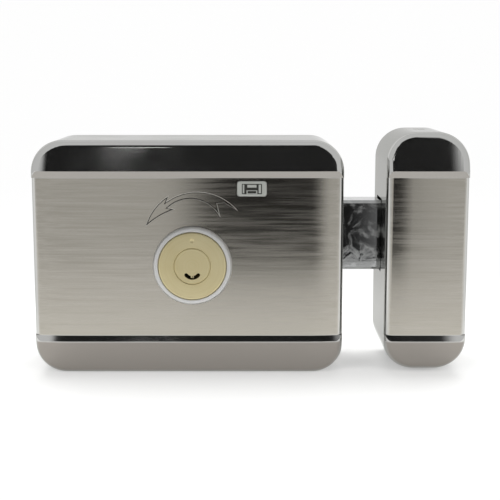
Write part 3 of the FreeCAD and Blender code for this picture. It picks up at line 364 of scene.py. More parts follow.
class Grain(Enum):
    """How a metal surface was worked, which sets the run of its fine lines."""

    DRAWN = "drawn"
    BRUSHED = "brushed"
    TURNED = "turned"
    CAST = "cast"
    PLATED = "plated"


@dataclass(frozen=True)
class MetalFinish:
    """A plain metal with fine lines or grains of one size.

    The tone swings a little between two colours, and the lines move the roughness and a very
    shallow bump, so that a lamp's reflection breaks up as it does on worked metal.
    """

    name: str
    light_hex: str
    dark_hex: str
    roughness: float
    grain: Grain
    grain_mm: float
    swing: float = 0.08
    bump_mm: float = 0.01
    centre_mm: tuple[float, float, float] = (0.0, 0.0, 0.0)

    def stretch(self) -> tuple[float, float, float]:
        """Find how fine the grain is along each axis.

        Returns:
            Cycles a metre along X, Y and Z.
        """
        fine = 1.0 / (self.grain_mm * MM)
        long = fine / 28.0
        if self.grain is Grain.BRUSHED:
            return (long, fine, fine)
        if self.grain is Grain.DRAWN:
            return (fine, fine, long)
        return (fine, fine, fine)

    def build(self) -> Material:
        """Make the material.

        Returns:
            The node material.
        """
        material, tree, place = start_material(self.name)
        grain = self.grain_field(tree, place)
        broad = add_node(tree, "TexNoise", {"Scale": 60.0, "Detail": 3.0, "Roughness": 0.5},
                         {"Vector": place})
        both = add_node(tree, "Math", {"operation": "MULTIPLY_ADD", 1: 0.45},
                        {0: grain, 2: add_node(tree, "Math", {"operation": "MULTIPLY", 1: 0.55},
                                               {0: broad.outputs["Fac"]}).outputs[0]}).outputs[0]
        ramp = add_node(tree, "ValToRGB", {}, {"Fac": both})
        ramp.color_ramp.elements[0].position = 0.32
        ramp.color_ramp.elements[0].color = linear(self.dark_hex)
        ramp.color_ramp.elements[1].position = 0.68
        ramp.color_ramp.elements[1].color = linear(self.light_hex)
        rough = spread(tree, both, (0.3, 0.7), (self.roughness - self.swing, self.roughness + self.swing))
        bump = add_node(tree, "Bump", {"Strength": 0.35, "Distance": self.bump_mm * MM}, {"Height": grain})
        shader = add_node(tree, "BsdfPrincipled", {"Metallic": 1.0},
                          {"Base Color": ramp.outputs["Color"], "Roughness": rough.outputs[0],
                           "Normal": bump.outputs[0]})
        add_node(tree, "OutputMaterial", {}, {"Surface": shader.outputs[0]})
        return material

    def grain_field(self, tree: Tree, place: Socket) -> Socket:
        """Lay the fine grain over the piece.

        Args:
            tree: the material's node tree.
            place: the object coordinates.

        Returns:
            A value of about 0 to 1.
        """
        if self.grain is Grain.TURNED:
            shift = [-c * MM for c in self.centre_mm]
            centred = add_node(tree, "Mapping", {"Location": shift}, {"Vector": place})
            apart = add_node(tree, "SeparateXYZ", {}, {"Vector": centred.outputs[0]})
            flat = add_node(tree, "CombineXYZ", {}, {"X": apart.outputs["X"], "Z": apart.outputs["Z"]})
            radius = add_node(tree, "VectorMath", {"operation": "LENGTH"}, {0: flat.outputs[0]})
            lines = add_node(tree, "TexNoise", {"noise_dimensions": "1D", "Scale": 1.0 / (self.grain_mm * MM),
                                                "Detail": 3.0}, {"W": radius.outputs["Value"]})
            return lines.outputs["Fac"]
        scaled = add_node(tree, "Mapping", {"Scale": self.stretch()}, {"Vector": place})
        noise = add_node(tree, "TexNoise", {"Scale": 1.0, "Detail": 4.0, "Roughness": 0.6},
                         {"Vector": scaled.outputs[0]})
        return noise.outputs["Fac"]


@dataclass(frozen=True)
class DrawnSteelFinish:
    """Drawn 304 stainless: a panel brushed from side to side, between facets buffed to a mirror.

    The brush lines are drawn coarser than the real ones, which are too fine for the render. They
    spread a reflection up and down, and the buffed facets keep it sharp and dark.
    """

    name: str
    panel_low_mm: float
    panel_high_mm: float
    panel_hex: str = "#B5B1A8"
    shade_hex: str = "#A8A49A"
    buffed_hex: str = "#CDCDCB"
    # Darker colour of the lower facet: painted shade, standing for the dim floor that the facet mirrors.
    lower_facet_painted_shade_hex: str = "#9C9791"
    # Darker colour of the upper step: painted shade, standing for the dim floor that the step mirrors.
    upper_step_painted_shade_hex: str = "#9C9994"
    edge_hex: str = "#C6C6C4"
    panel_roughness: float = 0.17
    buffed_roughness: float = 0.08
    ground_roughness: float = 0.2
    line_mm: float = 0.5
    line_length_mm: float = 24.0
    low_step_mm: float = 2.3
    step_middle_mm: float = 1.4
    step_reach_mm: float = 2.2
    soft_mm: float = 0.4

    def build(self) -> Material:
        """Make the material.

        Returns:
            The node material.
        """
        material, tree, place = start_material(self.name)
        mask = self.panel_mask(tree, place)
        lines = self.brush_lines(tree, place)
        tone = add_node(tree, "MixRGB", {"Color1": linear(self.shade_hex), "Color2": linear(self.panel_hex)},
                        {"Fac": lines})
        colour = add_node(tree, "MixRGB", {"Color1": linear(self.buffed_hex)},
                          {"Fac": mask, "Color2": tone.outputs[0]})
        panel_rough = spread(tree, lines,
                             (0.3, 0.7), (self.panel_roughness - 0.03, self.panel_roughness + 0.03))
        haze = add_node(tree, "TexNoise", {"Scale": 45.0, "Detail": 4.0}, {"Vector": place})
        buffed_rough = spread(tree, haze.outputs["Fac"],
                              (0.35, 0.65), (self.buffed_roughness - 0.03, self.buffed_roughness + 0.04))
        rough = add_node(tree, "Mix", {"data_type": "FLOAT"},
                         {"Factor": mask, "A": buffed_rough.outputs[0], "B": panel_rough.outputs[0]})
        # The lower facet's rougher finish is real; its darker colour is painted shade.
        ground = self.ground_and_painted_shade_mask(tree, place)
        colour = add_node(tree, "MixRGB", {"Color2": linear(self.lower_facet_painted_shade_hex)},
                          {"Fac": ground, "Color1": colour.outputs[0]})
        rough = add_node(tree, "Mix", {"data_type": "FLOAT", "B": self.ground_roughness},
                         {"Factor": ground, "A": rough.outputs[0]})
        # The upper step's darker colour is painted shade.
        step = self.painted_shade_step_mask(tree, place)
        colour = add_node(tree, "MixRGB", {"Color2": linear(self.upper_step_painted_shade_hex)},
                          {"Fac": step, "Color1": colour.outputs[0]})
        bump = add_node(tree, "Bump", {"Strength": 0.075, "Distance": 0.02 * MM},
                        {"Height": multiply(tree, lines, mask)})
        tangent = add_node(tree, "Tangent", {"direction_type": "RADIAL", "axis": "Z"})
        shader = add_node(tree, "BsdfPrincipled", {"Metallic": 1.0, "Anisotropic": 0.75,
                                                   "Anisotropic Rotation": 0.25,
                                                   "Specular Tint": linear(self.edge_hex)},
                          {"Base Color": colour.outputs[0], "Roughness": rough.outputs[0],
                           "Normal": bump.outputs[0], "Tangent": tangent.outputs[0]})
        add_node(tree, "OutputMaterial", {}, {"Surface": shader.outputs[0]})
        return material

    def facing(self, tree: Tree, axis: str, least: float, most: float) -> Socket:
        """Find the faces that look along one axis.

        Args:
            tree: the material's node tree.
            axis: the axis's letter.
            least: the normal's share along it that gives 0.
            most: the share that gives 1.

        Returns:
            0 to 1.
        """
        surface = add_node(tree, "NewGeometry")
        normal = add_node(tree, "SeparateXYZ", {}, {"Vector": surface.outputs["Normal"]})
        return spread(tree, normal.outputs[axis], (least, most)).outputs[0]

    def panel_mask(self, tree: Tree, place: Socket) -> Socket:
        """Find the brushed panel: between the two steps, and facing the front.

        Args:
            tree: the material's node tree.
            place: the object coordinates.

        Returns:
            1 on the panel and 0 on the buffed metal.
        """
        apart = add_node(tree, "SeparateXYZ", {}, {"Vector": place})
        middle = (self.panel_high_mm + self.panel_low_mm) / 2 * MM
        half = (self.panel_high_mm - self.panel_low_mm) / 2 * MM
        off = add_node(tree, "Math", {"operation": "SUBTRACT", 1: middle}, {0: apart.outputs["Z"]})
        away = add_node(tree, "Math", {"operation": "ABSOLUTE"}, {0: off.outputs[0]})
        inside = spread(tree, away.outputs[0], (half, half - self.soft_mm * MM))
        return multiply(tree, inside.outputs[0], self.facing(tree, "Y", -0.75, -0.97))

    def ground_and_painted_shade_mask(self, tree: Tree, place: Socket) -> Socket:
        """Find the lower facet, which is ground but not buffed, and whose darker colour is painted shade:
        below the lower step, and facing the front.

        Args:
            tree: the material's node tree.
            place: the object coordinates.

        Returns:
            1 on the lower facet and 0 elsewhere.
        """
        apart = add_node(tree, "SeparateXYZ", {}, {"Vector": place})
        edge = (self.panel_low_mm - self.low_step_mm) * MM
        below = spread(tree, apart.outputs["Z"], (edge + 0.2 * MM, edge - 0.6 * MM))
        return multiply(tree, below.outputs[0], self.facing(tree, "Y", -0.4, -0.8))

    def painted_shade_step_mask(self, tree: Tree, place: Socket) -> Socket:
        """Find the upper step, whose darker colour is painted shade: above the panel, and facing a little
        down.

        Args:
            tree: the material's node tree.
            place: the object coordinates.

        Returns:
            1 on the upper step and 0 elsewhere.
        """
        apart = add_node(tree, "SeparateXYZ", {}, {"Vector": place})
        middle = (self.panel_high_mm + self.step_middle_mm) * MM
        near = add_node(tree, "Math", {"operation": "COMPARE", 1: middle, 2: self.step_reach_mm * MM},
                        {0: apart.outputs["Z"]})
        both = multiply(tree, self.facing(tree, "Z", -0.1, -0.3), self.facing(tree, "Y", -0.6, -0.8))
        return multiply(tree, both, near.outputs[0])

    def brush_lines(self, tree: Tree, place: Socket) -> Socket:
        """Draw long thin brush lines from side to side.

        Args:
            tree: the material's node tree.
            place: the object coordinates.

        Returns:
            A value of about 0 to 1.
        """
        fine = 1.0 / (self.line_mm * MM)
        along = 1.0 / (self.line_length_mm * MM)
        thin = add_node(tree, "Mapping", {"Scale": (along, fine, fine)}, {"Vector": place})
        wide = add_node(tree, "Mapping", {"Scale": (along * 0.6, fine * 0.3, fine * 0.3)}, {"Vector": place})
        first = add_node(tree, "TexNoise", {"Scale": 1.0, "Detail": 3.0, "Roughness": 0.65},
                         {"Vector": thin.outputs[0]})
        second = add_node(tree, "TexNoise", {"Scale": 1.0, "Detail": 2.0}, {"Vector": wide.outputs[0]})
        mixed = add_node(tree, "Math", {"operation": "ADD"},
                         {0: first.outputs["Fac"], 1: second.outputs["Fac"]})
        return spread(tree, mixed.outputs[0], (0.72, 1.28)).outputs[0]


@dataclass(frozen=True)
class ChromeFinish:
    """Bright chrome plate on a milled bolt, with faint draw marks and fingerprints."""

    name: str
    plate_hex: str = "#A6A7A7"
    smear_hex: str = "#B4B5B4"
    roughness: float = 0.06

    def build(self) -> Material:
        """Make the material.

        Returns:
            The node material.
        """
        material, tree, place = start_material(self.name)
        swirl = {"Scale": 130.0, "Detail": 5.0, "Roughness": 0.62, "Distortion": 1.4}
        smear = add_node(tree, "TexNoise", swirl, {"Vector": place})
        edge = spread(tree, smear.outputs["Fac"], (0.42, 0.62))
        tones = {"Color1": linear(self.plate_hex), "Color2": linear(self.smear_hex)}
        colour = add_node(tree, "MixRGB", tones, {"Fac": edge.outputs[0]})
        rough = spread(tree, edge.outputs[0], (0.0, 1.0), (self.roughness - 0.04, self.roughness + 0.16))
        scaled = add_node(tree, "Mapping", {"Scale": (40.0, 900.0, 900.0)}, {"Vector": place})
        marks = add_node(tree, "TexNoise", {"Scale": 1.0, "Detail": 3.0}, {"Vector": scaled.outputs[0]})
        wave = add_node(tree, "Math", {"operation": "MULTIPLY_ADD", 1: 0.8},
                        {0: smear.outputs["Fac"], 2: marks.outputs["Fac"]})
        bump = add_node(tree, "Bump", {"Strength": 0.25, "Distance": 0.02 * MM}, {"Height": wave.outputs[0]})
        shader = add_node(tree, "BsdfPrincipled", {"Metallic": 1.0},
                          {"Base Color": colour.outputs[0], "Roughness": rough.outputs[0],
                           "Normal": bump.outputs[0]})
        add_node(tree, "OutputMaterial", {}, {"Surface": shader.outputs[0]})
        return material


@dataclass(frozen=True)
class PlasticFinish:
    """Moulded plastic or rubber: a fine spark-eroded texture and a faint flow in the tone."""

    name: str
    light_hex: str
    dark_hex: str
    roughness: float
    texture_mm: float = 0.4
    bump_mm: float = 0.01
    ior: float = 1.5

    def build(self) -> Material:
        """Make the material.

        Returns:
            The node material.
        """
        material, tree, place = start_material(self.name)
        flow = add_node(tree, "TexNoise", {"Scale": 90.0, "Detail": 3.0}, {"Vector": place})
        texture = add_node(tree, "TexNoise", {"Scale": 1.0 / (self.texture_mm * MM), "Detail": 2.0},
                           {"Vector": place})
        colour = add_node(tree, "MixRGB", {"Color1": linear(self.dark_hex), "Color2": linear(self.light_hex)},
                          {"Fac": flow.outputs["Fac"]})
        rough = spread(tree, texture.outputs["Fac"],
                       (0.0, 1.0), (max(self.roughness - 0.08, 0.02), self.roughness + 0.08))
        bump = add_node(tree, "Bump", {"Strength": 0.4, "Distance": self.bump_mm * MM},
                        {"Height": texture.outputs["Fac"]})
        shader = add_node(tree, "BsdfPrincipled", {"IOR": self.ior},
                          {"Base Color": colour.outputs[0], "Roughness": rough.outputs[0],
                           "Normal": bump.outputs[0]})
        add_node(tree, "OutputMaterial", {}, {"Surface": shader.outputs[0]})
        return material


@dataclass(frozen=True)
class ClearFinish:
    """Clear polycarbonate, moulded smooth: thick at its bevels, where it gathers light and looks pale."""

    name: str
    tint_hex: str = "#9FA19C"
    roughness: float = 0.14

    def build(self) -> Material:
        """Make the material.

        Returns:
            The node material.
        """
        material, tree, place = start_material(self.name)
        haze = add_node(tree, "TexNoise", {"Scale": 400.0, "Detail": 3.0}, {"Vector": place})
        rough = spread(tree, haze.outputs["Fac"], (0.0, 1.0), (self.roughness - 0.03, self.roughness + 0.08))
        shader = add_node(tree, "BsdfPrincipled", {"Base Color": linear(self.tint_hex), "IOR": 1.58,
                                                   "Transmission Weight": 0.25},
                          {"Roughness": rough.outputs[0]})
        add_node(tree, "OutputMaterial", {}, {"Surface": shader.outputs[0]})
        return material


@dataclass(frozen=True)
class BoardFinish:
    """Glass-fibre board under green solder mask, with tinned tracks below it."""

    name: str
    mask_hex: str = "#1E6B3A"
    track_hex: str = "#2F8C4E"
    track_mm: float = 2.2

    def build(self) -> Material:
        """Make the material.

        Returns:
            The node material.
        """
        material, tree, place = start_material(self.name)
        cells = add_node(tree, "TexVoronoi", {"distance": "MANHATTAN", "feature": "F1",
                                              "Scale": 1.0 / (self.track_mm * 2.4 * MM)}, {"Vector": place})
        bands = add_node(tree, "Math", {"operation": "MULTIPLY", 1: 9.0}, {0: cells.outputs["Distance"]})
        wrap = add_node(tree, "Math", {"operation": "PINGPONG", 1: 1.0}, {0: bands.outputs[0]})
        track = spread(tree, wrap.outputs[0], (0.45, 0.55))
        colour = add_node(tree, "MixRGB", {"Color1": linear(self.mask_hex), "Color2": linear(self.track_hex)},
                          {"Fac": track.outputs[0]})
        bump = add_node(tree, "Bump", {"Strength": 0.3, "Distance": 0.03 * MM}, {"Height": track.outputs[0]})
        weave = add_node(tree, "TexNoise", {"Scale": 900.0, "Detail": 2.0}, {"Vector": place})
        rough = spread(tree, weave.outputs["Fac"], (0.0, 1.0), (0.24, 0.42))
        shader = add_node(tree, "BsdfPrincipled", {"IOR": 1.5},
                          {"Base Color": colour.outputs[0], "Roughness": rough.outputs[0],
                           "Normal": bump.outputs[0]})
        add_node(tree, "OutputMaterial", {}, {"Surface": shader.outputs[0]})
        return material


KEY_AXIS_MM = (1.9, 0.0, -2.3)

FINISHES = {
    "drawn_stainless": DrawnSteelFinish("drawn stainless case", -32.8, 34.7),
    "zinc_plate": MetalFinish("zinc-plated sheet", "#BFC3C6", "#9FA4A8", 0.36, Grain.CAST, 1.6),
    "screw_steel": MetalFinish("nickel-plated screws", "#C9C6BF", "#A9A69F", 0.22, Grain.TURNED, 0.4),
    "ring_silver": MetalFinish("satin silver ring", "#DEDEDD", "#D3D3D2", 0.52, Grain.TURNED, 0.5, 0.05,
                               0.004, KEY_AXIS_MM),
    "brass": MetalFinish("turned pale brass", "#D8CEA9", "#CDC094", 0.5, Grain.TURNED, 0.5, 0.05, 0.004,
                         KEY_AXIS_MM),
    "spring_steel": MetalFinish("spring steel", "#8F8D89", "#6C6A67", 0.3, Grain.DRAWN, 0.3),
    "gear_steel": MetalFinish("sintered steel", "#8A8884", "#6A6865", 0.42, Grain.CAST, 0.5, 0.1, 0.03),
    "pinion_brass": MetalFinish("machined brass", "#D8B765", "#B9974A", 0.25, Grain.TURNED, 0.4),
    "keeper_steel": MetalFinish("milled steel", "#9B9A97", "#7C7B79", 0.34, Grain.BRUSHED, 0.4),
    "motor_steel": MetalFinish("drawn motor can", "#B4B4B2", "#999997", 0.28, Grain.DRAWN, 0.5),
    "gearbox_alloy": MetalFinish("die-cast zinc", "#B2B2B0", "#969694", 0.45, Grain.CAST, 0.7, 0.08, 0.03),
    "standoff_brass": MetalFinish("brass spacers", "#D5BA76", "#B89C58", 0.28, Grain.TURNED, 0.5),
    "magnet_nickel": MetalFinish("nickel-plated magnet", "#CFCDC8", "#B6B4AF", 0.16, Grain.PLATED, 0.6),
    "chromed_bolt": ChromeFinish("chrome-plated bolt"),
    "board_green": BoardFinish("solder-masked board"),
    "terminal_green": PlasticFinish("moulded terminal block", "#3E9B55", "#2F8044", 0.42),
    "capacitor_sleeve": PlasticFinish("shrunk sleeve", "#2A3566", "#1D2650", 0.3),
    "chip_black": PlasticFinish("moulded package", "#2A2A2B", "#1E1E1F", 0.55),
    "led_lamp": PlasticFinish("lamp body", "#3A3B3C", "#242526", 0.35),
    "clear_window": ClearFinish("clear polycarbonate"),
    "grommet_rubber": PlasticFinish("black rubber", "#232323", "#171717", 0.7, 0.6, 0.02),
    "sensor_black": PlasticFinish("potted sensor", "#262627", "#1B1B1C", 0.45),
}


@dataclass
class DrawnCover:
    """One drawn steel cover, in millimetres: facets fall back from two ridges round a set-back panel."""

    name: str
    node: str
    left: float
    right: float
    low: float
    top: float
    corner: float
    depth: float = 41.0
    wall: float = 1.5
    edge: float = 3.0
    recess: float = 1.3
    tilt_degrees: float = 16.0
    ridge_low: float = -35.0
    ridge_top: float = 37.5
    top_step: float = 2.9
    low_step: float = 2.3
    softening: float = 0.35
    roll: float = 17.0
    roll_depth: float = 1.1
    roll_steps: int = 10

    def form(self, inset: float) -> Piece:
        """Build the cover's outer form, or the hollow inside it, which runs out at the back.

        Args:
            inset: how far every wall moves in, 0 for the outside.

        Returns:
            A closed piece.
        """
        front = -(self.depth - inset)
        slope = math.tan(math.radians(self.tilt_degrees))
        inward = inset * math.tan(math.radians(self.tilt_degrees) / 2)
        upper, lower = (0, front, self.ridge_top - inward), (0, front, self.ridge_low + inward)
        planes = [((0, front, 0), (0, -1, 0)), (upper, (0, -1, slope)), (lower, (0, -1, -slope))]
        piece = self.blunt(inset, planes)
        recess = self.recess_tool(inset)
        carve(recess, self.blunt(inset, [((0, front + self.recess, 0), (0, -1, 0))]))
        return carve(piece, recess)

    def blunt(self, inset: float, cuts: Sequence[tuple[Sequence[float], Sequence[float]]]) -> Piece:
        """Cut a block with rounded corners to its front planes, and round the rim where they meet its sides.

        Args:
            inset: how far every wall moves in.
            cuts: a point and an outward normal of each front plane.

        Returns:
            A closed piece.
        """
        back = 1.0 if inset else 0.0
        bm = rounded_block((self.left + inset, -2 * self.depth, self.low + inset),
                           (self.right - inset, back, self.top - inset), self.corner - inset, 14)
        for point, normal in cuts:
            geom = bm.verts[:] + bm.edges[:] + bm.faces[:]
            bmesh.ops.bisect_plane(bm, geom=geom, dist=1e-7, plane_co=Vector(point) * MM,
                                   plane_no=Vector(normal).normalized(), clear_outer=True)
            bmesh.ops.holes_fill(bm, edges=[e for e in bm.edges if e.is_boundary], sides=0)
        bmesh.ops.recalc_face_normals(bm, faces=bm.faces)
        faces = [f for f in bm.faces if f.normal.y < -0.5]
        rim = {e for f in faces for e in f.edges if any(g.normal.y > -0.5 for g in e.link_faces)}
        round_edges(bm, rim, self.edge - inset, 8)
        return finish_mesh(self.name, bm)

    def recess_tool(self, inset: float) -> Piece:
        """The tool that sets the panel back between its two sloping steps.

        Args:
            inset: how far the wall moves in.

        Returns:
            A closed tool.
        """
        front = -(self.depth - inset)
        floor = front + self.recess
        outline = []
        for ridge, step, sign in ((self.ridge_top, self.top_step, 1), (self.ridge_low, self.low_step, -1)):
            edge = ridge - sign * inset * math.tan(math.atan(self.recess / step) / 2)
            outline.append([(front - self.recess, edge + sign * step), (floor, edge - sign * step),
                            (front + 2 * self.edge, edge - sign * step)])
        return prism(outline[0] + outline[1][::-1], self.left - 5, self.right + 5)

    def soften(self, piece: Piece) -> None:
        """Round the ridges and the step's edges a little, as drawing and buffing leave them.

        Args:
            piece: the cover's outer form.
        """
        step = piece.modifiers.new("soften", "BEVEL")
        step.width = self.softening * MM
        step.segments = 3
        step.limit_method = "ANGLE"
        step.angle_limit = math.radians(16)
        step.use_clamp_overlap = True
        bake_modifiers(piece)

    def build(self, tools: Sequence[Callable[[], Piece]], stamps: Sequence[Callable[[], Piece]]
              ) -> Piece:
        """Make the whole cover.

        Args:
            tools: makers of the tools that cut holes through the wall.
            stamps: makers of the tools that mark the outside.

        Returns:
            The finished cover.
        """
        piece = self.form(0.0)
        self.soften(piece)
        for stamp in stamps:
            carve(piece, stamp())
        carve(piece, self.form(self.wall))
        for tool in tools:
            carve(piece, tool())
        self.roll_ends(piece)
        piece.name = self.name
        smooth_shade(piece)
        return piece

    def roll_ends(self, piece: Piece) -> None:
        """Let the front fall back a little towards its two sides, as a drawn sheet does.

        Args:
            piece: the cover.
        """
        bm = bmesh.new()
        bm.from_mesh(piece.data)
        for side, end in ((-1, self.left), (1, self.right)):
            for index in range(self.roll_steps):
                x = end - side * self.roll * (1 - index / self.roll_steps)
                geom = bm.verts[:] + bm.edges[:] + [f for f in bm.faces if f.normal.y < -0.3]
                bmesh.ops.bisect_plane(bm, geom=geom, dist=1e-7, plane_co=(x * MM, 0, 0), plane_no=(1, 0, 0))
        full = self.edge * MM * 3
        for vert in bm.verts:
            off = min(vert.co.x - self.left * MM, self.right * MM - vert.co.x)
            run = max(self.roll * MM - off, 0.0)
            front = min(max((-vert.co.y - (self.depth - 12.0) * MM) / full, 0.0), 1.0)
            vert.co.y += front * self.roll_depth * MM * (run / (self.roll * MM)) ** 2
        bm.to_mesh(piece.data)
        bm.free()


@dataclass
class CaseArrow:
    """The turning arrow stamped into the panel, in millimetres seen from the front."""

    floor_y: float = -39.7
    lip_width: float = 0.16
    lip_depth: float = 0.06
    wall_width: float = 0.34
    wall_depth: float = 0.28
    tip: Point = (-17.7, 14.1)
    outer_barb: Point = (-7.7, 27.3)
    outer_neck: Point = (-8.8, 24.7)
    outer_middle: Point = (5.4, 28.8)
    tail: tuple[Point, ...] = ((21.0, 20.9), (15.4, 24.2), (12.3, 23.9), (13.7, 18.1))
    inner_middle: Point = (1.6, 25.8)
    inner_neck: Point = (-8.2, 22.1)
    inner_barb: Point = (-5.2, 21.5)
    head_bulge: float = 1.6

    def arc(self, start: Point, middle: Point, end: Point,
            steps: int = 14) -> list[Point]:
        """Points of the circle's arc through three points, without the last one.

        Args:
            start: the first point.
            middle: a point on the way.
            end: the last point.
            steps: how many stretches the arc has.

        Returns:
            The points from the first one on.
        """
        (ax, ay), (bx, by), (cx, cy) = start, middle, end
        d = 2 * (ax * (by - cy) + bx * (cy - ay) + cx * (ay - by))
        a2, b2, c2 = ax * ax + ay * ay, bx * bx + by * by, cx * cx + cy * cy
        ux = (a2 * (by - cy) + b2 * (cy - ay) + c2 * (ay - by)) / d
        uy = (a2 * (cx - bx) + b2 * (ax - cx) + c2 * (bx - ax)) / d
        radius = math.hypot(ax - ux, ay - uy)
        first, mid, last = (math.atan2(p[1] - uy, p[0] - ux) for p in (start, middle, end))
        turn = (last - first) % (2 * math.pi)
        if (mid - first) % (2 * math.pi) > turn:
            turn -= 2 * math.pi
        angles = [first + turn * k / steps for k in range(steps)]
        return [(ux + radius * math.cos(angle), uy + radius * math.sin(angle)) for angle in angles]

    def bulged(self, start: Point, end: Point, bulge: float) -> list[Point]:
        """Points of an arc between two points, without the last one.

        Args:
            start: the first point.
            end: the last point.
            bulge: how far the arc leaves the chord on its left side.

        Returns:
            The points from the first one on.
        """
        run = Vector(end) - Vector(start)
        across = Vector((-run.y, run.x)).normalized() * bulge
        middle = (Vector(start) + Vector(end)) / 2 + across
        return self.arc(start, (middle.x, middle.y), end, 8)

    def tool(self) -> Piece:
        """The tool that sinks the arrow, with sloping walls.

        Returns:
            A closed tool.
        """
        outline = self.bulged(self.tip, self.outer_barb, self.head_bulge) + [self.outer_barb]
        outline += self.arc(self.outer_neck, self.outer_middle, self.tail[0]) + list(self.tail[:3])
        outline += self.arc(self.tail[3], self.inner_middle, self.inner_neck) + [self.inner_neck]
        outline += self.bulged(self.inner_barb, self.tip, -self.head_bulge / 2)
        bm = bmesh.new()
        floor = push_face(bm, [(x, self.floor_y - 1.0, z) for x, z in outline], (0, 1.0, 0))
        bmesh.ops.recalc_face_normals(bm, faces=bm.faces)
        for width, depth in ((self.lip_width, self.lip_depth), (self.wall_width, self.wall_depth)):
            bmesh.ops.inset_region(bm, faces=floor, thickness=width * MM, depth=depth * MM,
                                   use_even_offset=True, use_boundary=True)
        return finish_mesh("tool", bm)

    def mark_walls(self, piece: Piece) -> None:
        """Give the arrow's lip material 1, lighter as a painted highlight, and its wall material 2, dark as
        painted shade.

        Args:
            piece: the cover that the arrow is stamped into.
        """
        points = [self.tip, self.outer_barb, self.outer_middle, *self.tail]
        left, right = min(p[0] for p in points) - 1, max(p[0] for p in points) + 1
        low, high = min(p[1] for p in points) - 1, max(p[1] for p in points) + 1
        for face in piece.data.polygons:
            x, y, z = face.center / MM
            sunk = self.floor_y < y < self.floor_y + self.lip_depth + self.wall_depth + 0.05
            if sunk and left < x < right and low < z < high and face.normal.y > -0.975:
                face.material_index = 1 if face.normal.y < -0.86 else 2


@dataclass
class LockCase:
    """The lock case: its cover with the arrow, the window hole, the key hole and the bolt's way out."""

    cover: DrawnCover = field(default_factory=lambda: DrawnCover(
        "lock_cover", "case_cover", -65.5, 65.5, -50.0, 50.0, 12.5))
    arrow: CaseArrow = field(default_factory=CaseArrow)
    key_hole: float = 26.6
    window: tuple[float, float, float, float] = (20.55, 33.25, 26.7, 33.5)
    bolt_way: tuple[float, float, float, float] = (-23.8, -8.2, -8.3, 23.8)
    screw_x: float = 35.0
    screw_y: float = -12.0

    def build(self, finish: Material, painted_highlight_lip: Material, painted_shade_wall: Material) -> None:
        """Make the cover and lay its finishes.

        Args:
            finish: the drawn steel.
            painted_highlight_lip: the finish of the arrow's lip, lighter as a painted highlight.
            painted_shade_wall: the finish of the arrow's wall, dark as painted shade.
        """
        x0, x1, z0, z1 = self.window
        y0, y1, b0, b1 = self.bolt_way
        tools = [
            lambda: tool_rod(KEY_AXIS_MM[0], KEY_AXIS_MM[2], self.key_hole, -45, -36),
            lambda: finish_mesh("tool", rounded_block((x0, -45, z0), (x1, -36, z1), 1.4)),
            lambda: finish_mesh("tool", block((60, y0, b0), (70, y1, b1))),
            lambda: countersink(-self.screw_x, self.screw_y, self.cover.low, 1),
            lambda: countersink(self.screw_x, self.screw_y, self.cover.low, 1),
        ]
        piece = self.cover.build(tools, [self.arrow.tool])
        for material in (finish, painted_highlight_lip, painted_shade_wall):
            piece.data.materials.append(material)
        self.arrow.mark_walls(piece)
        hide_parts(self.cover.node)
        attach(piece, "lock_case")
        LOG.info("%s has %d faces", piece.name, len(piece.data.polygons))


@dataclass
class StrikeBox:
    """The strike box: its cover with the bolt's way in and a screw in its top and bottom walls."""

    cover: DrawnCover = field(default_factory=lambda: DrawnCover(
        "strike_box_cover", "strike_cover", 83.2, 118.0, -48.35, 53.35, 13.0, roll=11.0, roll_depth=0.4))
    bolt_way: tuple[float, float, float, float] = (-23.8, -8.2, -8.3, 23.8)
    screw_x: float = 100.6
    screw_y: float = -12.0

    def build(self, finish: Material) -> None:
        """Make the cover and lay its finish.

        Args:
            finish: the drawn steel.
        """
        y0, y1, b0, b1 = self.bolt_way
        tools = [
            lambda: finish_mesh("tool", block((80, y0, b0), (90, y1, b1))),
            lambda: countersink(self.screw_x, self.screw_y, self.cover.low, 1),
            lambda: countersink(self.screw_x, self.screw_y, self.cover.top, -1),
        ]
        piece = self.cover.build(tools, [])
        piece.data.materials.append(finish)
        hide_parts(self.cover.node)
        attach(piece, "lock_case")
        LOG.info("%s has %d faces", piece.name, len(piece.data.polygons))


def countersink(x: float, y: float, z: float, up: int) -> Piece:
    """A countersunk hole's tool along Z, in millimetres.

    Args:
        x: the hole's place along X.
        y: the hole's place along Y.
        z: the outer face of the wall.
        up: 1 if the hole runs upwards from the face, -1 if it runs down.

    Returns:
        A closed tool.
    """
    bm = bmesh.new()
    outline = [(0, -1.0), (2.75, -1.0), (2.75, 0.0), (1.6, 1.5), (1.6, 3.0), (0, 3.0)]
    verts = [bm.verts.new(((x + r) * MM, y * MM, (z + up * h) * MM)) for r, h in outline]
    edges = [bm.edges.new(pair) for pair in zip(verts, verts[1:])]
    bmesh.ops.spin(bm, geom=verts + edges, cent=(x * MM, y * MM, 0), axis=(0, 0, 1), dvec=(0, 0, 0),
                   angle=2 * math.pi, steps=40, use_merge=True, use_duplicate=False)
    return finish_mesh("tool", bm)


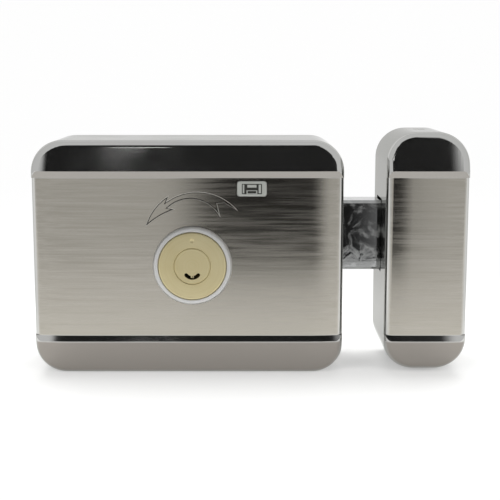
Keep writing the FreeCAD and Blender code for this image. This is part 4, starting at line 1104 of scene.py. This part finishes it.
@dataclass
class KeyCylinder:
    """The key cylinder's face: trim ring, housing, and the plug with its crescent keyway, in millimetres."""

    x: float = KEY_AXIS_MM[0]
    z: float = KEY_AXIS_MM[2]
    face_y: float = -42.3
    ring_front_y: float = -41.9
    panel_y: float = -39.7
    ring_r: float = 16.7
    face_r: float = 14.3
    body_r: float = 13.0
    rear_y: float = -18.0
    plug_r: float = 7.6
    keyway_r: float = 3.3
    keyway_width: float = 1.6
    keyway_half_angle: float = 50.0
    keyway_drop: float = 1.55
    keyway_depth: float = 20.0
    ring_bore_r: float = 13.3
    barrel_r: float = 6.8
    barrel_bore_r: float = 6.85

    def build(self, silver: Material, brass: Material) -> None:
        """Make the ring, the housing and the plug.

        Args:
            silver: the ring's finish.
            brass: the finish of the housing and the plug.
        """
        flange_y = self.face_y + 2.0
        ring = turned_piece("cylinder_trim_ring", [
            (self.ring_bore_r, self.panel_y), (self.ring_r, self.panel_y), (self.ring_r, self.panel_y - 0.9),
            (self.ring_r - 0.25, self.panel_y - 1.45), (self.ring_r - 0.7, self.ring_front_y + 0.12),
            (self.ring_r - 1.1, self.ring_front_y), (self.face_r + 0.35, self.ring_front_y),
            (self.face_r + 0.1, self.ring_front_y + 0.2), (self.face_r + 0.1, flange_y),
            (self.ring_bore_r, flange_y)],
            self.x, self.z, 128)
        self.settle(ring, silver, "trim_ring", "lock_case")
        housing = turned_piece("cylinder_face", [
            (self.plug_r + 0.28, self.face_y), (self.face_r - 0.75, self.face_y),
            (self.face_r - 0.2, self.face_y + 0.22), (self.face_r, self.face_y + 0.6),
            (self.face_r, flange_y), (self.body_r, flange_y), (self.body_r, self.rear_y),
            (self.barrel_bore_r, self.rear_y),
            (self.barrel_bore_r, self.face_y + 1.5), (self.plug_r + 0.05, self.face_y + 1.5),
            (self.plug_r + 0.05, self.face_y + 0.22)], self.x, self.z, 128)
        carve(housing, self.dimple())
        self.settle(housing, brass, "cylinder_housing", "lock_case")
        plug = turned_piece("keyed_plug", [
            (0, self.face_y), (self.plug_r - 0.3, self.face_y), (self.plug_r, self.face_y + 0.22),
            (self.plug_r, self.face_y + 1.45), (self.barrel_r, self.face_y + 1.45),
            (self.barrel_r, self.rear_y), (5.5, self.rear_y),
            (5.5, self.rear_y + 1.4), (0, self.rear_y + 1.4)], self.x, self.z, 128)
        carve(plug, self.keyway())
        self.settle(plug, brass, "key_plug", "plug")

    def dimple(self) -> Piece:
        """The tool of a plain round dimple in the face, above the plug.

        Returns:
            A closed tool.
        """
        bm = bmesh.new()
        bmesh.ops.create_uvsphere(bm, u_segments=32, v_segments=16, radius=1.5 * MM)
        place = (self.x * MM, (self.face_y - 1.14) * MM, (self.z + 10.8) * MM)
        bmesh.ops.translate(bm, vec=place, verts=bm.verts)
        return finish_mesh("tool", bm)

    def keyway(self) -> Piece:
        """The crescent slot's tool, with round ends and the ward that narrows it.

        Returns:
            A closed tool.
        """
        half = math.radians(self.keyway_half_angle)
        width = self.keyway_width
        inner, outer = self.keyway_r - width / 2, self.keyway_r + width / 2
        centre_z = self.z - self.keyway_drop
        points = []

        def at(radius: float, angle: float) -> None:
            """Add the point at a radius and an angle from straight down."""
            points.append((self.x + radius * math.sin(angle), centre_z - radius * math.cos(angle)))

        for k in range(17):
            at(outer, -half + 2 * half * k / 16)
        end = (self.x + self.keyway_r * math.sin(half), centre_z - self.keyway_r * math.cos(half))
        self.round_end(points, end, half)
        ward = [(0.32, 0.0), (0.32, 0.95), (-0.05, 0.95), (-0.05, 0.0),
                (-0.3, 0.0), (-0.3, 0.8), (-0.85, 0.8), (-0.85, 0.0)]
        for k in range(16, -1, -1):
            angle = -half + 2 * half * k / 16
            if k == 8:
                for dx, drop in ward:
                    points.append((self.x + dx + 0.25, centre_z - inner - drop))
            else:
                at(inner, angle)
        start = (self.x - self.keyway_r * math.sin(half), centre_z - self.keyway_r * math.cos(half))
        self.round_end(points, start, -half + math.pi)
        bm = bmesh.new()
        push_face(bm, [(x, self.face_y - 1, z) for x, z in points], (0, self.keyway_depth + 1, 0))
        return finish_mesh("tool", bm)

    def round_end(self, points: list[Point], centre: Point, angle: float) -> None:
        """Add a half circle that closes one end of the keyway.

        Args:
            points: the outline so far.
            centre: the half circle's centre.
            angle: the way that the keyway runs there, counted from straight down.
        """
        radius = self.keyway_width / 2
        for k in range(1, 8):
            turn = angle + math.pi * k / 8
            points.append((centre[0] + radius * math.sin(turn), centre[1] - radius * math.cos(turn)))

    def settle(self, piece: Piece, finish: Material, node: str, body: str) -> None:
        """Shade a turned piece, lay its finish and put it on its body.

        Args:
            piece: the piece.
            finish: its finish.
            node: the CAD node that it stands in for.
            body: the body that it rides.
        """
        smooth_shade(piece)
        piece.data.materials.append(finish)
        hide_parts(node)
        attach(piece, body)


@dataclass
class LampLens:
    """The bevelled lens of the status lamp, its well with a dark floor painted as shade, and the bars in it,
    in millimetres.
    """

    x: float = 26.9
    z: float = 30.1
    width: float = 12.4
    height: float = 6.5
    corner: float = 1.3
    front_y: float = -40.3
    seat_y: float = -38.2
    rear_y: float = -37.0
    flange: float = 1.2
    bevel: float = 0.65
    well: tuple[float, float] = (8.4, 4.3)
    well_depth: float = 0.3

    def slab(self, half_x: float, half_z: float, corner: float, y0: float, y1: float) -> BMesh:
        """A rounded rectangle about the lens's middle."""
        low, high = (self.x - half_x, y0, self.z - half_z), (self.x + half_x, y1, self.z + half_z)
        return rounded_block(low, high, corner, 6)

    def bar(self, x: float, z: float, width: float, height: float, lift: float) -> Piece:
        """A small bar that stands on the floor of the well.

        Args:
            x: its middle along X from the lens's middle.
            z: its middle along Z from there.
            width: its size along X.
            height: its size along Z.
            lift: how far it stands off the floor.

        Returns:
            A closed tool.
        """
        floor = self.front_y + self.well_depth
        low = (self.x + x - width / 2, floor - lift, self.z + z - height / 2)
        bm = block(low, (self.x + x + width / 2, floor + 0.2, self.z + z + height / 2))
        top = [e for e in bm.edges if all(abs(v.co.y - low[1] * MM) < 1e-7 for v in e.verts)]
        round_edges(bm, top, 0.06, 1)
        return finish_mesh("bar", bm)

    def build(self, clear: Material, well: Material) -> None:
        """Make the lens.

        Args:
            clear: the moulded plastic.
            well: the dark floor behind its middle, painted shade that stands for the lamp's hollow.
        """
        bm = self.slab(self.width / 2, self.height / 2, self.corner, self.front_y, self.seat_y + 0.1)
        front = [e for e in bm.edges if all(abs(v.co.y - self.front_y * MM) < 1e-7 for v in e.verts)]
        round_edges(bm, front, self.bevel, 3)
        piece = finish_mesh("status_lamp_lens", bm)
        rim = self.slab(self.width / 2 + self.flange, self.height / 2 + self.flange,
                        self.corner + self.flange, self.seat_y, self.rear_y)
        carve(piece, finish_mesh("tool", rim), Carve.JOIN)
        half_x, half_z = self.well[0] / 2, self.well[1] / 2
        hollow = self.slab(half_x, half_z, 0.4, self.front_y - 1, self.front_y + self.well_depth)
        carve(piece, finish_mesh("tool", hollow))
        floor = (self.front_y + self.well_depth) * MM
        for bar in ((0.0, 1.15, 3.8, 1.15, 0.12), (0.0, -1.35, 4.5, 1.5, 0.14), (-3.5, 0.0, 0.7, 3.6, 0.1),
                    (3.3, 0.0, 1.0, 3.6, 0.12)):
            carve(piece, self.bar(*bar), Carve.JOIN)
        slot = block((self.x - 1.8, self.front_y, self.z - 1.85),
                     (self.x + 1.8, self.front_y + self.well_depth, self.z - 0.85))
        carve(piece, finish_mesh("tool", slot))
        smooth_shade(piece)
        piece.data.materials.append(clear)
        piece.data.materials.append(well)
        # The well's floor takes the dark colour: painted shade.
        for face in piece.data.polygons:
            if abs(face.center.y - floor) < 1e-6 and face.normal.y < -0.9:
                face.material_index = 1
        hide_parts("status_window")
        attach(piece, "lock_case")
        LOG.info("%s has %d faces", piece.name, len(piece.data.polygons))


@dataclass
class Studio:
    """The pale floor and backdrop, the soft lamps and the camera, in millimetres."""

    floor_z: float = -50.0
    look_x: float = 26.1
    look_z: float = 23.5
    front_y: float = -41.0
    distance: float = 407.4
    pitch_degrees: float = 7.8
    frame_mm: float = 208.0
    shift: float = -0.09
    floor_near: float = -260.0
    room: float = 0.72
    shade_middle: tuple[float, float] = (26.0, 0.0)
    shade_half: tuple[float, float] = (91.0, 41.0)
    shade_fade: tuple[float, float] = (8.0, 150.0)
    shade_lift: tuple[float, float] = (0.25, 0.95)
    card_y: float = -700.0
    card_z: float = 580.0
    card_size: tuple[float, float] = (2400.0, 1600.0)
    card_waist: tuple[float, float] = (110.0, 220.0)
    card_left: tuple[float, float, float] = (-37.0, -350.0, 24.0)
    card_right: tuple[float, float, float] = (185.0, 330.0, 50.0)

    def build(self) -> None:
        """Set up the view, the floor, the lamps and the camera."""
        scene = bpy.context.scene
        scene.view_settings.view_transform = "Standard"
        self.floor()
        self.world()
        self.black_card()
        self.lamp("left softbox", (-430, -470, 170), (10, -30, 0), (300, 420), 2.0, seen_in_metal=False)
        self.lamp("right softbox", (520, -420, 170), (60, -30, 0), (260, 420), 1.6, seen_in_metal=False)
        self.lamp("top softbox", (30, 160, 560), (30, 0, 0), (760, 420), 4.0, seen_in_metal=False)
        self.lamp("narrow softbox", (-80, -492, 330), (-22, -41, -35), (56, 16), 0.012)
        self.camera()

    def floor(self) -> None:
        """A pale floor that sweeps up into the backdrop."""
        bm = bmesh.new()
        far, half, high, bend = 0.7, 1.6, 1.5, 0.3
        near = self.floor_near * MM
        z = self.floor_z * MM
        start = [bm.verts.new((-half, near, z)), bm.verts.new((half, near, z))]
        edges = [bm.edges.new(start)]
        path = [(far, 0.0)] + [(far + bend * math.sin(a), bend - bend * math.cos(a))
                               for a in (math.radians(d) for d in range(15, 91, 15))] + [(far + bend, high)]
        last = (near, 0.0)
        for point in path:
            made = bmesh.ops.extrude_edge_only(bm, edges=edges)["geom"]
            verts = [g for g in made if isinstance(g, bmesh.types.BMVert)]
            edges = [g for g in made if isinstance(g, BMEdge) and g.verts[0] in verts and g.verts[1] in verts]
            bmesh.ops.translate(bm, vec=(0, point[0] - last[0], point[1] - last[1]), verts=verts)
            last = point
        sweep = finish_mesh("floor", bm)
        sweep.data.shade_smooth()
        sweep.data.materials.append(self.paper())

    def paper(self) -> Material:
        """White paper that keeps the lock's shadow, and is white further off for camera, metal and glass.

        Returns:
            The node material.
        """
        material, tree, place = start_material("pale paper sweep")
        middle = [m * MM for m in (*self.shade_middle, self.floor_z)]
        centred = add_node(tree, "VectorMath", {"operation": "SUBTRACT", 1: middle}, {0: place})
        outside = add_node(tree, "VectorMath", {"operation": "ABSOLUTE"}, {0: centred.outputs[0]})
        half = [h * MM for h in (*self.shade_half, 1000.0)]
        past = add_node(tree, "VectorMath", {"operation": "SUBTRACT", 1: half}, {0: outside.outputs[0]})
        kept = add_node(tree, "VectorMath", {"operation": "MAXIMUM", 1: (0.0, 0.0, 0.0)},
                        {0: past.outputs[0]})
        away = add_node(tree, "VectorMath", {"operation": "LENGTH"}, {0: kept.outputs[0]})
        clear = spread(tree, away.outputs["Value"], (self.shade_fade[0] * MM, self.shade_fade[1] * MM),
                       self.shade_lift, "SMOOTHSTEP")
        rays = add_node(tree, "LightPath")
        seen = add_node(tree, "Math", {"operation": "MAXIMUM"},
                        {0: rays.outputs["Is Camera Ray"], 1: rays.outputs["Is Glossy Ray"]})
        seen = add_node(tree, "Math", {"operation": "MAXIMUM"},
                        {0: seen.outputs[0], 1: rays.outputs["Is Transmission Ray"]})
        share = multiply(tree, seen.outputs[0], clear.outputs[0])
        paper = add_node(tree, "BsdfDiffuse", {"Color": linear("#EFEFEE")})
        glow = add_node(tree, "Emission", {"Color": (1, 1, 1, 1), "Strength": 1.0})
        both = add_node(tree, "MixShader", {}, {0: share, 1: paper.outputs[0], 2: glow.outputs[0]})
        add_node(tree, "OutputMaterial", {}, {"Surface": both.outputs[0]})
        return material

    def world(self) -> None:
        """An even pale room."""
        world = bpy.data.worlds.new("room")
        bpy.context.scene.world = world
        world.use_nodes = True
        tree = world.node_tree
        tree.nodes.clear()
        back = add_node(tree, "Background", {"Color": (1, 1, 1, 1), "Strength": self.room})
        add_node(tree, "OutputWorld", {}, {"Surface": back.outputs[0]})

    def black_card(self) -> None:
        """A black card behind the camera, wider above the lock, that only polished metal mirrors."""
        bm = bmesh.new()
        bmesh.ops.create_grid(bm, x_segments=1, y_segments=1, size=0.5)
        grow = Matrix.Diagonal((self.card_size[0] * MM, self.card_size[1] * MM, 1, 1))
        bmesh.ops.transform(bm, matrix=Matrix.Rotation(math.radians(90), 4, "X") @ grow, verts=bm.verts)
        bmesh.ops.translate(bm, vec=(0, self.card_y * MM, self.card_z * MM), verts=bm.verts)
        card = finish_mesh("black card", bm)
        card.data.materials.append(self.card_cloth())
        card.visible_camera = False
        card.visible_diffuse = False
        card.visible_shadow = False

    def card_cloth(self) -> Material:
        """Black cloth with soft edges, narrow below and wide above.

        Returns:
            The node material.
        """
        material, tree, place = start_material("black card")
        apart = add_node(tree, "SeparateXYZ", {}, {"Vector": place})
        masks = []
        for sign, (low, high, soft) in ((1, self.card_left), (-1, self.card_right)):
            edge = spread(tree, apart.outputs["Z"],
                          (self.card_waist[0] * MM, self.card_waist[1] * MM), (low * MM, high * MM))
            inside = add_node(tree, "Math", {"operation": "SUBTRACT"},
                              {0: apart.outputs["X"], 1: edge.outputs[0]})
            masks.append(spread(tree, inside.outputs[0], (-sign * soft * MM, sign * soft * MM), (0.0, 1.0),
                                "SMOOTHSTEP").outputs[0])
        cloth = add_node(tree, "BsdfDiffuse", {"Color": (0.02, 0.02, 0.02, 1)})
        clear = add_node(tree, "BsdfTransparent", {"Color": (1, 1, 1, 1)})
        both = add_node(tree, "MixShader", {},
                        {0: multiply(tree, *masks), 1: clear.outputs[0], 2: cloth.outputs[0]})
        add_node(tree, "OutputMaterial", {}, {"Surface": both.outputs[0]})
        return material

    def lamp(self, name: str, place: Sequence[float], aim: Sequence[float], size: tuple[float, float],
             watts: float, seen_in_metal: bool = True) -> None:
        """Add one softbox.

        Args:
            name: its name.
            place: where it stands, in millimetres.
            aim: the point that it faces, in millimetres.
            size: its width and height in millimetres.
            watts: its power.
            seen_in_metal: whether polished metal mirrors it.
        """
        data = bpy.data.lights.new(name, "AREA")
        data.shape = "RECTANGLE"
        data.size = size[0] * MM
        data.size_y = size[1] * MM
        data.energy = watts
        lamp = bpy.data.objects.new(name, data)
        bpy.context.scene.collection.objects.link(lamp)
        lamp.location = Vector(place) * MM
        lamp.rotation_euler = (Vector(aim) - Vector(place)).to_track_quat("-Z", "Y").to_euler()
        lamp.visible_glossy = seen_in_metal

    def camera(self) -> None:
        """Put the camera at the photograph's angle."""
        data = bpy.data.cameras.new("camera")
        camera = bpy.data.objects.new("camera", data)
        bpy.context.scene.collection.objects.link(camera)
        pitch = math.radians(self.pitch_degrees)
        look = Vector((0, math.cos(pitch), -math.sin(pitch)))
        target = Vector((self.look_x, self.front_y, self.look_z)) * MM
        camera.location = target - look * self.distance * MM
        camera.rotation_euler = look.to_track_quat("-Z", "Y").to_euler()
        data.sensor_width = 36.0
        data.lens = 36.0 * self.distance / self.frame_mm
        data.shift_y = self.shift
        data.clip_start = 0.01
        data.clip_end = 10.0
        bpy.context.scene.camera = camera


def dress_nodes(frame: dict, finishes: dict[str, Material]) -> None:
    """Give every CAD node the finish of its material slot.

    Args:
        frame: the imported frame.
        finishes: materials by slot.
    """
    for part in frame["record"]["subparts"]:
        node = frame["nodes"][part["node"]]
        node.data.materials.clear()
        node.data.materials.append(finishes[part["material_slot"]])


def main() -> None:
    """Build the lock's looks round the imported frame."""
    logging.basicConfig(level=logging.INFO)
    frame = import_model()
    finishes = {slot: finish.build() for slot, finish in FINISHES.items()}
    dress_nodes(frame, finishes)
    # The arrow's lip gets a lighter colour as a painted highlight.
    painted_highlight_lip = MetalFinish("painted highlight stamp edge", "#CFCDC8", "#B7B4AD", 0.42, Grain.CAST, 0.6).build()
    # The arrow's wall gets a dark colour as painted shade.
    painted_shade_wall = MetalFinish("painted shade stamp wall", "#4F4D48", "#3C3A36", 0.5, Grain.CAST, 0.6).build()
    LockCase().build(finishes["drawn_stainless"], painted_highlight_lip, painted_shade_wall)
    # The lamp well's dark floor is painted shade for the hollow behind the lens.
    well = PlasticFinish("painted shade lamp well", "#343431", "#232321", 0.12).build()
    LampLens().build(finishes["clear_window"], well)
    StrikeBox().build(finishes["drawn_stainless"])
    KeyCylinder().build(finishes["ring_silver"], finishes["brass"])
    Studio().build()


if __name__ == "__main__":
    main()
